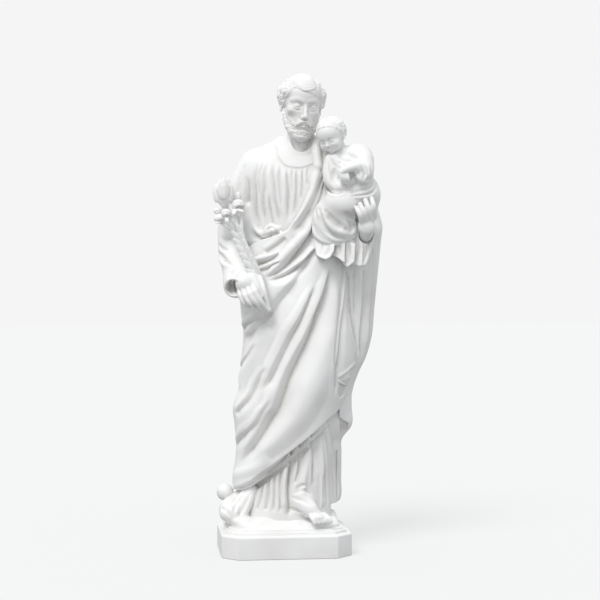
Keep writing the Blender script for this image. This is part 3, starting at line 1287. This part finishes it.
def lily(cell):
    """The stem laid up the sleeve: stalk, overlapping leaves, a tall closed flower and three open ones."""
    stem = Clay((-170, -135, 485), (-10, 5, 800), cell)
    strand(stem, LILY_STALK, (4.2, 4.8, 5.4, 6, 6.5, 7, 7, 5), 0)
    path = flowing([seen(*p) for p in LILY_STALK], 8)
    leaves = 6
    for i in range(leaves):
        root = path[int(len(path) * (0.27 + 0.43 * i / leaves))]
        for rise, reach, forward, wide in ((15, -26, -6, 12), (28, -12, -10, 12)):
            tip = root + np.array((reach + 0.5 * i, forward, rise + i * 0.4))
            stem.add(leaf(root + (6, 2, -10), tip, wide, 5.0, (-0.2, -1, 0.1)), 1.0)
    for root, tip, wide in TOP_LEAVES:
        stem.add(leaf(seen(*root), seen(*tip), wide, 6, (0, -1, 0)), 1.2)
    base = (-121, 716, -52)
    for x, top, y, wide in TALL_PETALS:
        mx, mz, my = x * 0.96 - 5.0, (top + base[1]) / 2 + 2, y - 6
        stem.add(leaf(seen(*base), seen(mx, mz + 14, my), wide, 12, (0.04 * (x + 122), -1, 0)), 2)
        stem.add(leaf(seen(mx, mz - 16, my), seen(x, top, y), wide + 2, 11, (0.05 * (x + 122), -1, 0)), 2)
    stem.add(Ball(seen(-122, 744, -52), (18, 14, 22)), 3)
    grooves(stem, PETAL_LINES, 1)
    hood(stem, (-91, 721, -66), (13.5, 12, 12), (-86, 712, -74), (11, 12, 8), 12)
    stem.add(leaf(seen(-100, 716, -64), seen(-80, 707, -80), 11, 5, (0.2, -0.5, 1)), 1)
    stem.add(leaf(seen(-98, 716, -66), seen(-101, 701, -80), 11, 5, (-0.4, -0.7, 0.8)), 1)
    stem.add(Ball(seen(-91, 740, -56), (5.5, 5.5, 9), turned(0, 0, -10)), 1.5)
    groove(stem, ((-103, 722), (-92, 727), (-80, 722)), 1.4, 0.6, 1)
    hood(stem, (-116, 704, -70), (10, 9.5, 9.5), (-112, 696, -78), (7.5, 9, 6), 10)
    stem.add(leaf(seen(-117, 698, -70), seen(-113, 686, -80), 9, 4.5, (0, -0.7, 0.7)), 1)
    groove(stem, ((-124, 704), (-117, 707), (-108, 703)), 1.4, 0.6, 1)
    stem.add(Ball(seen(-134, 709, -58), (8, 7, 7)), 1)
    groove(stem, ((-139, 706), (-134, 709), (-128, 707)), 1.6, 0.7, 1)
    hood(stem, (-130, 694, -62), (12, 9.5, 9), (-126, 686, -70), (10, 9, 5.5), -8)
    stem.add(leaf(seen(-122, 690, -62), seen(-139, 684, -68), 8, 4.5, (0, -0.7, 0.8)), 1)
    return stem


def left_arm(cell):
    """The arm that carries the child, and its hanging sleeve."""
    arm = Clay((60, -145, 565), (228, 80, 860), cell)
    arm.add(Limb(((108, 8, 800), (142, 12, 748), (166, 16, 700), (172, 14, 678)), (38, 37, 34, 31)))
    arm.add(Limb(((172, 12, 678), (173, -22, 672), (170, -48, 672)), (31, 27, 23)), 8)
    strand(arm, ((170, 668, -30), (161, 640, -34), (156, 614, -30)), (25, 22, 14), 8)
    flap(arm, ((144, 668), (164, 658), (163, 600), (158, 596), (143, 600), (147, 630)), -62, -0.5, 0.06)
    flap(arm, ((161, 658), (189, 664), (185, 642), (177, 618), (170, 600), (161, 598)), -57, 0.35, 0.06)
    hollow(arm, ((171, 664, -100), (171, 660, -72), (171, 656, -52)), (20, 17.5, 14), 3)
    groove(arm, ((154, 660), (154, 634), (151, 608)), (2, 4, 3), 0.6, 3)
    groove(arm, ((176, 644), (173, 626), (168, 606)), (3, 4, 3), 0.6, 3)
    ridge(arm, ((186, 654), (178, 630), (169, 602), (160, 598), (146, 601)), (3, 3.4, 3, 3, 2.4), 0.5, 3)
    return arm


# Drapery of the child
CHILD_VALLEYS = (
    (((66, 712), (70, 690), (79, 667), (96, 651)), (4, 5, 4), 0.7),
    (((74, 712), (80, 690), (92, 670), (110, 656), (128, 651)), (4, 6, 7, 5), 1.0),
    (((88, 708), (98, 692), (114, 679), (128, 671)), (4, 7, 8, 5), 1.1),
    (((126, 706), (136, 700), (146, 697)), (5, 6, 4), 1.1),
    (((132, 692), (140, 680), (143, 664)), (3, 4, 3), 0.8),
    (((108, 796), (104, 778), (106, 760)), (4, 6, 4), 0.6),
    (((92, 808), (95, 790), (104, 776)), (2.5, 3.5, 2.5), 0.6),
    (((98, 818), (104, 806), (114, 798)), (2.5, 3.5, 2.5), 0.6),
    (((88, 766), (94, 750), (108, 742), (122, 745)), 2.6, 0.6),
    (((190, 757), (182, 746), (164, 741), (148, 741)), (3, 4, 3), 0.8),
    (((186, 770), (178, 757), (160, 750), (142, 748)), (3, 4, 3), 0.7),
    (((180, 800), (182, 786), (176, 772)), 3.0, 0.6),
    (((160, 800), (168, 786), (166, 774)), (3, 4, 3), 0.8),
    (((168, 806), (175, 792), (173, 776)), (2.5, 3.5, 2.5), 0.7),
    (((116, 808), (126, 800), (138, 790), (150, 784)), (3, 4.5, 3), 1.0),
    (((134, 826), (148, 818), (150, 806)), (3, 4, 3), 0.5),
    (((116, 820), (128, 812), (140, 812)), (3, 4, 3), 0.5),
)
CHILD_RIDGES = (
    (((63, 700), (62, 680), (68, 660), (84, 648), (107, 643), (128, 644), (145, 655)), (4, 5, 5, 4), 0.5),
    (((72, 700), (76, 680), (88, 661), (106, 650), (126, 648)), (4, 5, 5, 4), 0.45),
    (((82, 706), (90, 688), (104, 672), (120, 664), (136, 662)), (4, 6, 6, 4), 0.45),
    (((137, 694), (146, 684), (146, 668), (138, 660)), 4.5, 0.5),
    (((84, 772), (89, 752), (98, 742), (110, 739), (126, 743)), 3.2, 0.5),
    (((187, 764), (178, 752), (158, 745), (138, 742)), 3.5, 0.5),
    (((192, 750), (180, 740), (162, 737), (146, 736)), 3.5, 0.5),
    (((148, 790), (156, 776), (168, 769), (180, 772)), 4.5, 0.5),
    (((163, 796), (171, 784), (168, 774)), 3, 0.5),
)


def child_body(cell):
    """A shirted child seated on the arm, arms folded, with cloth round the legs."""
    body = Clay((35, -150, 585), (220, 25, 870), cell)
    strand(body, ((148, 818, -46), (152, 790, -50), (150, 750, -50)), (27, 33, 35), 0)
    strand(body, ((122, 824, -55), (160, 820, -45)), (17, 24), 10)
    body.add(Ball(seen(126, 790, -62), (30, 26, 36)), 8)
    strand(body, ((166, 812, -60), (168, 790, -76), (162, 780, -86)), (20, 18, 14), 8)
    strand(body, ((164, 792, -82), (147, 799, -93), (127, 797, -97)), (14, 12.5, 9), 5)
    strand(body, ((102, 812, -66), (97, 786, -72), (102, 766, -80), (116, 758, -88)), (17, 16, 14, 12), 10)
    body.add(Ball(seen(104, 692, -60), (44, 34, 49)), 8)
    body.add(Ball(seen(120, 723, -74), (36, 30, 31)), 8)
    strand(body, ((168, 742, -50), (142, 737, -62), (114, 730, -72)), (29, 29, 26), 8)
    strand(body, ((72, 664, -58), (100, 655, -68), (138, 664, -62)), (14, 15, 14), 8)
    strand(body, ((184, 762, -42), (189, 742, -44), (184, 712, -46)), (11, 11, 10), 8)
    grooves(body, CHILD_VALLEYS, 3)
    ridges(body, CHILD_RIDGES, 3)
    y = front(body, 126, 790)
    strand(body, ((146, 799, y + 4), (131, 795, y - 1), (121, 789, y - 1)), (8, 8, 7), 2.5)
    for j in range(4):
        x = 117 + 4.6 * j
        finger = ((x, 790 - j, y - 2), (x + 3, 778 - j, y - 4), (x + 4, 766 + j, y + 1))
        strand(body, finger, (3.6, 3.4, 2.8), 1)
    y = front(body, 140, 772)
    strand(body, ((152, 778, y + 4), (142, 770, y), (134, 763, y)), (7, 6.5, 5), 3)
    return body


# The gathers as flaps: outline seen from the front, how far forward, and slopes across and up
GATHER_FLAPS = (
    (((64, 652), (76, 648), (106, 640), (104, 627), (97, 614), (88, 609.5), (78, 613), (68, 619)),
     -77, -0.38, 0.28),
    (((100, 644), (127, 646), (126, 603), (118, 610.5), (110, 616), (101, 619)), -71, -0.50, 0.10),
    (((121, 648), (149, 652), (146, 604.5), (139, 600), (132, 594.5), (123, 602)), -70, -0.50, 0.10),
)
GATHER_VALLEYS = (
    (((94, 642), (92, 628), (85, 617)), (2, 3.5, 2.5), 0.55),
    (((80, 646), (80, 634), (76, 622)), (2, 3, 2), 0.45),
    (((134, 646), (135, 626), (133, 606)), (3, 4, 3), 0.55),
    (((114, 642), (116, 630), (114, 618)), (2, 3, 2), 0.5),
    (((128, 650), (142, 648), (154, 648)), (3, 5, 4), 0.8),
)
GATHER_RIDGES = (
    (((69, 621), (78, 615), (88, 612), (95, 615)), (2, 2.6, 2), 0.5),
    (((104, 619), (111, 616), (118, 611.5), (124, 605)), (2, 2.4, 2), 0.5),
    (((125, 602), (132, 596.5), (139, 601), (144, 606)), (2, 2.4, 2), 0.5),
)


def under_child(cell):
    """The gathered mantle that hangs from under the child, with its zigzag edge."""
    cloth = Clay((35, -135, 555), (200, 25, 690), cell)
    strand(cloth, ((76, 650, -50), (104, 645, -52), (142, 648, -46)), (14, 15, 14), 0)
    strand(cloth, ((84, 638, -40), (108, 640, -40), (138, 634, -34)), (13, 14, 15), 8)
    for outline, forward, across, up in GATHER_FLAPS:
        flap(cloth, outline, forward, across, up)
    grooves(cloth, GATHER_VALLEYS, 2)
    ridges(cloth, GATHER_RIDGES, 2.0, 0.1)
    return cloth


def shoulder_cloth(cell):
    """Mantle over the shoulder, between the beard and the child."""
    cloth = Clay((20, -85, 770), (150, 60, 885), cell)
    strand(cloth, ((68, 850, -24), (69, 830, -42), (72, 800, -54)), (9, 10, 9), 0)
    strand(cloth, ((88, 844, -8), (90, 822, -30), (90, 795, -44)), (14, 14, 13), 6)
    return cloth


def prism_gap(x, y, half_width, half_depth, chamfer):
    """Distance outside a rectangle with cut corners, under 0 inside."""
    ax, ay = np.abs(x), np.abs(y)
    corner = (ax + ay - (half_width + half_depth - chamfer)) / math.sqrt(2)
    return np.maximum(np.maximum(ax - half_width, ay - half_depth), corner)


# Cloth and rock at the viewer's left of the base: place seen from the front, radii and melt
BASE_MASSES = (
    ((-108, 94, -6), (24, 42, 27), 8),
    ((-84, 84, -4), (28, 38, 22), 10),
    ((-80, 108, 14), (30, 36, 33), 12),
    ((-109, 87, -42), (22, 18, 19), 8),
)
BASE_VALLEYS = (
    (((-86, 122), (-97, 106), (-101, 88)), (3, 4, 3), 0.6),
    (((-126, 99), (-117, 92), (-108, 80)), (3, 4, 3), 0.45),
)


def ground(cell):
    """Rough ground on the plinth's top, with trailing cloth and a round stone at the viewer's left."""
    inset = STEP_INSET + TOP_STEP_INSET + GROUND_MARGIN
    half_width = (PLINTH_WIDTH / 2 - inset) / UNIT
    half_depth = (PLINTH_DEPTH / 2 - inset) / UNIT
    chamfer = (PLINTH_CHAMFER - 0.6 * inset) / UNIT
    turn = math.radians(FIGURE_TURN)
    soil = Clay((-150, -130, 30), (150, 125, 165), cell)
    soil.add(Ball((0, 4, 10), (half_width * 1.42, half_depth * 1.42, 76)))
    soil.add(Ball((half_width * 0.80, 22, 48), (38, 46, 36)), 10)
    soil.add(Ball((-half_width * 0.88, 34, 45), (34, 42, 38)), 10)

    def overhang(x, y, z):
        px = x * math.cos(turn) - y * math.sin(turn)
        py = x * math.sin(turn) + y * math.cos(turn)
        return -prism_gap(px, py, half_width, half_depth, chamfer) + 0 * z

    soil.cut(Form(overhang, (-150, -125, 30), (150, 125, 165)), 6)
    for place, radii, melt in BASE_MASSES:
        soil.add(Ball(seen(*place), radii), melt)
    strand(soil, ((-62, 134, -28), (-73, 112, -36), (-82, 86, -42)), (12, 13, 10), 8)
    strand(soil, ((-76, 130, -22), (-90, 113, -32), (-98, 94, -44)), (9, 9, 7), 7)
    groove(soil, ((-69, 126), (-79, 106), (-90, 84)), (3, 5, 4), 0.7, 5)
    grooves(soil, BASE_VALLEYS, 4)
    soil.add(Ball(seen(-119, 131, 24), (18, 18, 18)), 2)
    for i in range(26):
        a = 2.4 * i
        place = (half_width * 0.82 * math.cos(a), half_depth * 0.80 * math.sin(a * 1.3 + 1),
                 66 + 5 * math.sin(3.7 * i))
        soil.add(Ball(place, (20 + 7 * math.sin(2.1 * i), 17, 8 + 2 * math.cos(1.9 * i))), 9)
    return soil


def feet(cell):
    """The foot that comes out under the hem, with its toes."""
    foot = Clay((-150, -130, 50), (130, 20, 150), cell)
    strand(foot, ((50, 98, -62), (64, 84, -74)), (13, 10), 0)
    foot.add(Ball(seen(74, 79, -74), (22, 14, 9), turned(35, 0, 0)), 5)
    for i in range(4):
        x = 57 + 7.6 * i
        toe = ((x, 84 - 0.6 * i, -80 + 1.5 * i), (x + 5, 75 - 0.4 * i, -88 + 2.4 * i),
               (x + 9, 67 + 0.8 * i, -90 + 3 * i))
        strand(foot, toe, (5.0, 4.8, 4.0), 1.2)
    strand(foot, ((84, 82, -70), (92, 76, -78), (97, 71, -80)), (7.5, 7, 5.6), 1.5)
    return foot


# Extra carving of the robes, on the lines and hems that are crisp
ROBE_VALLEYS = (
    (((123, 596), (121, 540), (117, 485), (112, 440), (108, 395), (106, 350)), (3, 5, 5, 5, 4, 3), 0.8),
    (((-98, 128), (-74, 131), (-50, 147), (-26, 166), (0, 184), (34, 210), (62, 236), (86, 262)),
     (4, 7, 7, 7, 7, 7, 7, 6), 0.9),
    (((134, 572), (136, 517), (143, 478), (149, 446)), (3, 5, 5, 3), 0.7),
    (((148, 390), (138, 379), (126, 371), (114, 364)), (2.5, 4, 4, 2.5), 0.8),
)
ROBE_RIDGES = (
    (((-102, 138), (-76, 142), (-48, 160), (-22, 175), (8, 197), (36, 221), (66, 248), (94, 274)),
     (5, 6.5, 5.5, 4.5, 4, 4, 3.5, 3), 0.45),
    (((128, 578), (129, 540), (136, 480), (144, 440), (148, 404)), (2, 2.4, 2.6, 2.6, 2.4), 0.3),
    (((14, 856), (17, 840), (26, 830), (38, 827), (50, 830), (60, 840), (64, 854)), 2.0, 0.5),
    (((150, 399), (138, 388), (126, 377), (113, 368)), (2, 2.6, 2.6, 2), 0.4),
    (((114, 361), (125, 364), (137, 368)), (1.6, 2.4, 2), 0.5),
)


# The girdle and its rolled knot, tucked above the edge of the mantle
KNOT = (
    (((-62, 686), (-55, 670), (-42, 659), (-34, 657)), (3, 4, 3), 0.5),
    (((-38, 660), (-34, 672), (-24, 678), (-14, 674), (-12, 667)), (4, 5, 4), 0.7),
    (((-30, 664), (-24, 669), (-16, 668)), (4, 4.5, 4), 0.9),
    (((-14, 674), (-8, 668), (0, 662)), (4, 4, 3), 0.6),
)

# Folds of the tunic where it meets the foot
ANKLE_VALLEYS = (
    (((27, 136), (36, 143), (48, 145)), (3, 5, 3), 0.8),
    (((24, 128), (34, 134), (48, 133), (56, 128)), (3, 4, 4, 3), 0.6),
    (((18, 120), (30, 116), (46, 112), (62, 104)), (3, 4, 4, 3), 0.45),
    (((14, 98), (26, 92), (38, 88)), (3, 4, 3), 0.5),
)

# Layers of cloth at the viewer's right: outlines seen from the front and depths, then one laid on top
SET_BACK = (
    (((113, 357.5), (135.5, 345), (137, 341), (128, 331), (119, 323), (113, 330)), 5),
    (((117, 279), (137, 265.5), (132, 250), (119, 237)), 7),
    (((102, 198.5), (113, 211), (113, 100), (101, 100)), 3),
)
LAID_ON = ((117, 308), (130, 326), (137, 320), (137, 267), (117.5, 280))


def robe_lump():
    """Both robes, the sleeves and the gathers under the child."""
    group = Clay((-150, -135, 60), (228, 125, 880), ROBE_CELL)
    group.add(column(body_relief(RELIEF_STEP), 66, 868))
    behind = Clay((-115, -70, 70), (228, 112, 845), ROBE_CELL)
    behind.add(column(fall_relief(RELIEF_STEP), 98, 830))
    group.put(behind, 3)
    soften(group, 2, 26, 8)
    group.put(shoulder_cloth(ROBE_CELL), 6)
    group.cut(Limb(((37, -44, 872), (38, -46, 856), (38, -50, 844)), (26, 24, 15)), 5)
    grooves(group, ROBE_VALLEYS, 4)
    ridges(group, ROBE_RIDGES, 5, 0.12)
    ridges(group, KNOT, 2, 0.2)
    for outline, deep in SET_BACK:
        press(group, outline, deep)
    lift(group, LAID_ON, 2.0)
    strand(group, ((24, 132, -40), (38, 112, -54), (56, 97, -66)), (18, 19, 15), 14)
    strand(group, ((52, 97, -63), (64, 86, -70), (74, 81, -71)), (14, 12, 10), 9)
    grooves(group, ANKLE_VALLEYS, 4)
    group.put(right_arm(ROBE_CELL), 9)
    strand(group, ((-70, 714, -22), (-68, 688, -22), (-67, 654, -24)), (10, 13, 10), 10)
    group.put(left_arm(ROBE_CELL), 5)
    group.put(under_child(ROBE_CELL), 3)
    return group


def marble():
    """White marble-filled resin: faint clouds of tone, grime in the recesses and a soft satin."""
    material = bpy.data.materials.new("white_marble_resin")
    material.use_nodes = True
    nodes = material.node_tree.nodes
    links = material.node_tree.links
    shader = nodes["Principled BSDF"]
    shader.inputs["Roughness"].default_value = 0.55
    shader.inputs["Subsurface Weight"].default_value = 0.0
    place = nodes.new("ShaderNodeTexCoord")
    clouds = nodes.new("ShaderNodeTexNoise")
    clouds.inputs["Scale"].default_value = CLOUD_SCALE
    clouds.inputs["Detail"].default_value = 4.0
    links.new(place.outputs["Object"], clouds.inputs["Vector"])
    tone = nodes.new("ShaderNodeValToRGB")
    for stop, (position, colour) in zip(tone.color_ramp.elements, CLOUD_TONES):
        stop.position = position
        stop.color = colour
    links.new(clouds.outputs["Fac"], tone.inputs["Fac"])
    recess = nodes.new("ShaderNodeAttribute")
    recess.attribute_name = "recess"
    grime = nodes.new("ShaderNodeMix")
    grime.data_type = "RGBA"
    grime.inputs["B"].default_value = GRIME
    links.new(recess.outputs["Fac"], grime.inputs["Factor"])
    links.new(tone.outputs["Color"], grime.inputs["A"])
    links.new(grime.outputs["Result"], shader.inputs["Base Color"])
    grain = nodes.new("ShaderNodeTexNoise")
    grain.inputs["Scale"].default_value = GRAIN_SCALE
    grain.inputs["Detail"].default_value = 3.0
    links.new(place.outputs["Object"], grain.inputs["Vector"])
    bump = nodes.new("ShaderNodeBump")
    bump.inputs["Strength"].default_value = 0.12
    bump.inputs["Distance"].default_value = GRAIN_HEIGHT
    links.new(grain.outputs["Fac"], bump.inputs["Height"])
    links.new(bump.outputs["Normal"], shader.inputs["Normal"])
    return material


def recesses(mesh, rounds, full):
    """Stores 0 to 1 at each corner of a mesh: how far it lies in a hollow of the carving."""
    count = len(mesh.vertices)
    points = np.empty(count * 3)
    mesh.vertices.foreach_get("co", points)
    points = points.reshape(-1, 3)
    normals = np.empty(count * 3)
    mesh.vertices.foreach_get("normal", normals)
    normals = normals.reshape(-1, 3)
    ends = np.empty(len(mesh.edges) * 2, np.int64)
    mesh.edges.foreach_get("vertices", ends)
    a, b = ends.reshape(-1, 2).T
    degree = np.maximum(np.bincount(a, minlength=count) + np.bincount(b, minlength=count), 1)
    soft = points.copy()
    for _ in range(rounds):
        total = np.empty_like(soft)
        for axis in range(3):
            total[:, axis] = np.bincount(a, soft[b, axis], count) + np.bincount(b, soft[a, axis], count)
        soft = 0.5 * soft + 0.5 * total / degree[:, None]
    hollow = np.einsum("ij,ij->i", soft - points, normals)
    share = np.clip(hollow / full, 0, 1)
    store = mesh.attributes.new("recess", "FLOAT", "POINT")
    store.data.foreach_set("value", share.astype(np.float32))


def dress(piece):
    """Finish and place of every piece of the casting."""
    piece.data.materials.append(MARBLE)
    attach(piece, "root")
    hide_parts("statue")


def without_crumbs(points, quads):
    """Leaves out loose crumbs of clay, too small to be part of the carving."""
    a = quads.ravel()
    b = np.roll(quads, 1, axis=1).ravel()
    group = np.arange(len(points))
    while (group[a] != group[b]).any():
        lower = np.minimum(group[a], group[b])
        np.minimum.at(group, group[a], lower)
        np.minimum.at(group, group[b], lower)
        while (group[group] != group).any():
            group = group[group]
    faces = np.bincount(group[quads[:, 0]], minlength=len(points))
    quads = quads[faces[group[quads[:, 0]]] >= LEAST_FACES]
    used, order = np.unique(quads, return_inverse=True)
    return points[used], order.reshape(-1, 4)


def carve(name, clay, triangles, rounds=14, full=0.0016):
    """Makes a piece from clay with about so many triangles at most, and stores its recesses."""
    points, quads = without_crumbs(*clay.surface())
    turn = Matrix.Rotation(math.radians(FIGURE_TURN), 3, "Z")
    points = points @ np.array(turn).T * UNIT
    mesh = bpy.data.meshes.new(name)
    mesh.from_pydata(points.tolist(), [], quads.tolist())
    piece = bpy.data.objects.new(name, mesh)
    bpy.context.scene.collection.objects.link(piece)
    if 2 * len(quads) > triangles:
        lighten = piece.modifiers.new("lighten", "DECIMATE")
        lighten.ratio = triangles / (2 * len(quads))
        lighten.use_collapse_triangulate = True
        evaluated = piece.evaluated_get(bpy.context.evaluated_depsgraph_get())
        lighter = bpy.data.meshes.new_from_object(evaluated)
        piece.modifiers.remove(lighten)
        piece.data = lighter
        bpy.data.meshes.remove(mesh)
        mesh = lighter
        mesh.name = name
    mesh.shade_smooth()
    recesses(mesh, rounds, full)
    dress(piece)
    print(name, len(mesh.polygons))
    return piece


def plinth_profile():
    """Inset and height of each ring of the plinth, from the underside up."""
    rings = [(FOOT_BEVEL, 0.0), (0.0, FOOT_BEVEL)]
    bends = 8
    for i in range(bends + 1):
        a = math.radians(90 * i / bends)
        rings.append((BLOCK_ROUNDING * (1 - math.cos(a)), BLOCK_HEIGHT - BLOCK_ROUNDING * (1 - math.sin(a))))
    z = BLOCK_HEIGHT
    inset = STEP_INSET
    for height, next_inset in ((STEP_HEIGHT, TOP_STEP_INSET), (TOP_STEP_HEIGHT, GROUND_MARGIN)):
        soft = 0.3 * min(height, next_inset)
        rings.append((inset, z))
        z += height
        for i in range(4):
            a = math.radians(30 * i)
            rings.append((inset + soft * (1 - math.cos(a)), z - soft * (1 - math.sin(a))))
        inset += next_inset
    rings.append((inset, z))
    return rings


def plinth_ring(inset):
    """Corners of the plinth's outline, moved in by inset on every side."""
    half_width = PLINTH_WIDTH / 2 - inset
    half_depth = PLINTH_DEPTH / 2 - inset
    leg = PLINTH_CHAMFER - inset * (2 - math.sqrt(2))
    corners = []
    for sx, sy, first in ((1, -1, False), (1, 1, True), (-1, 1, False), (-1, -1, True)):
        pair = [(sx * (half_width - leg), sy * half_depth), (sx * half_width, sy * (half_depth - leg))]
        corners += pair[::-1] if first else pair
    return corners


def plinth():
    """The stepped plinth with cut corners, its arrises softened as a cast's are."""
    shape = bmesh.new()
    rings = [[shape.verts.new((x, y, z)) for x, y in plinth_ring(inset)] for inset, z in plinth_profile()]
    for lower, upper in zip(rings[:-1], rings[1:]):
        for i in range(len(lower)):
            j = (i + 1) % len(lower)
            shape.faces.new((lower[i], lower[j], upper[j], upper[i]))
    shape.faces.new(rings[0][::-1])
    shape.faces.new(rings[-1])
    bmesh.ops.recalc_face_normals(shape, faces=shape.faces)
    upright = [e for e in shape.edges if len(e.link_faces) == 2 and e.calc_face_angle() > 0.7
               and abs((e.verts[0].co - e.verts[1].co).normalized().z) > 0.2]
    bmesh.ops.bevel(shape, geom=upright, offset=CORNER_BEVEL, segments=3, affect="EDGES", profile=0.5)
    mesh = bpy.data.meshes.new("plinth")
    shape.to_mesh(mesh)
    shape.free()
    mesh.shade_smooth()
    mesh.set_sharp_from_angle(angle=math.radians(28))
    piece = bpy.data.objects.new("plinth", mesh)
    bpy.context.scene.collection.objects.link(piece)
    dress(piece)
    return piece


def lamp(name, place, spread_degrees, power, colour):
    """A large far light that shines from a place towards the figure."""
    light = bpy.data.lights.new(name, "SUN")
    light.angle = math.radians(spread_degrees)
    light.energy = power
    light.color = colour
    holder = bpy.data.objects.new(name, light)
    bpy.context.scene.collection.objects.link(holder)
    holder.location = place
    holder.rotation_euler = (-Vector(place)).to_track_quat("-Z", "Y").to_euler()


def split_by_ray(tree, other, shown, target):
    """Shows one shader to the camera itself, and gives all other rays the other."""
    ray = tree.nodes.new("ShaderNodeLightPath")
    mix = tree.nodes.new("ShaderNodeMixShader")
    tree.links.new(ray.outputs["Is Camera Ray"], mix.inputs["Fac"])
    tree.links.new(other, mix.inputs[1])
    tree.links.new(shown, mix.inputs[2])
    tree.links.new(mix.outputs["Shader"], target)


def studio():
    """Pale floor, near-white surround and soft light from the viewer's upper left."""
    mesh = bpy.data.meshes.new("floor")
    side = FLOOR_HALF
    corners = [(-side, -side, 0), (side, -side, 0), (side, side, 0), (-side, side, 0)]
    mesh.from_pydata(corners, [], [(0, 1, 2, 3)])
    floor = bpy.data.objects.new("floor", mesh)
    bpy.context.scene.collection.objects.link(floor)
    material = bpy.data.materials.new("pale_floor")
    material.use_nodes = True
    tree = material.node_tree
    shader = tree.nodes["Principled BSDF"]
    shader.inputs["Base Color"].default_value = (FLOOR_TONE, FLOOR_TONE, FLOOR_TONE, 1)
    shader.inputs["Roughness"].default_value = 0.9
    shader.inputs["Specular IOR Level"].default_value = 0.0
    shader.inputs["Emission Color"].default_value = (1, 1, 1, 1)
    shader.inputs["Emission Strength"].default_value = FLOOR_GLOW
    dull = tree.nodes.new("ShaderNodeBsdfDiffuse")
    dull.inputs["Color"].default_value = (FLOOR_BOUNCE, FLOOR_BOUNCE, FLOOR_BOUNCE, 1)
    surface = tree.nodes["Material Output"].inputs["Surface"]
    split_by_ray(tree, dull.outputs["BSDF"], shader.outputs["BSDF"], surface)
    mesh.materials.append(material)
    world = bpy.data.worlds.new("surround")
    bpy.context.scene.world = world
    world.use_nodes = True
    tree = world.node_tree
    shown = tree.nodes["Background"]
    shown.inputs["Color"].default_value = (PAPER, PAPER, PAPER, 1)
    shown.inputs["Strength"].default_value = 1.0
    around = tree.nodes.new("ShaderNodeBackground")
    around.inputs["Color"].default_value = AROUND_COLOUR
    around.inputs["Strength"].default_value = AROUND
    surface = tree.nodes["World Output"].inputs["Surface"]
    split_by_ray(tree, around.outputs["Background"], shown.outputs["Background"], surface)
    lamp("key_light", KEY_PLACE, KEY_SPREAD, KEY_POWER, KEY_COLOUR)
    bpy.context.scene.view_settings.view_transform = "Standard"


def camera():
    """The photograph's viewpoint: level with the chest, far enough to flatten the figure."""
    turn = Matrix.Rotation(math.radians(FIGURE_TURN), 3, "Z")
    place = turn @ Vector((EYE_X, -EYE_DISTANCE, EYE_Z)) * UNIT
    aim = turn @ Vector((EYE_X, 0.0, AIM_Z)) * UNIT
    data = bpy.data.cameras.new("camera")
    data.sensor_width = 36.0
    data.lens = LENS
    holder = bpy.data.objects.new("camera", data)
    bpy.context.scene.collection.objects.link(holder)
    holder.location = place
    holder.rotation_euler = (aim - place).to_track_quat("-Z", "Y").to_euler()
    bpy.context.scene.camera = holder


MARBLE = marble()

camera()
studio()
plinth()
carve("robes", robe_lump(), ROBE_TRIANGLES)
carve("child", child_body(FINE_CELL), CHILD_TRIANGLES, 10, 0.0012)
carve("hands", both_hands(FINE_CELL), SMALL_TRIANGLES, 8, 0.0010)
carve("man_head", man_head(HEAD_CELL), MAN_HEAD_TRIANGLES, 10, 0.0010)
carve("child_head", child_head(CHILD_CELL), CHILD_TRIANGLES, 10, 0.0010)
carve("lily", lily(FINE_CELL), SMALL_TRIANGLES, 8, 0.0010)
carve("feet", feet(FINE_CELL), SMALL_TRIANGLES, 10, 0.0012)
carve("ground", ground(ROBE_CELL), GROUND_TRIANGLES)
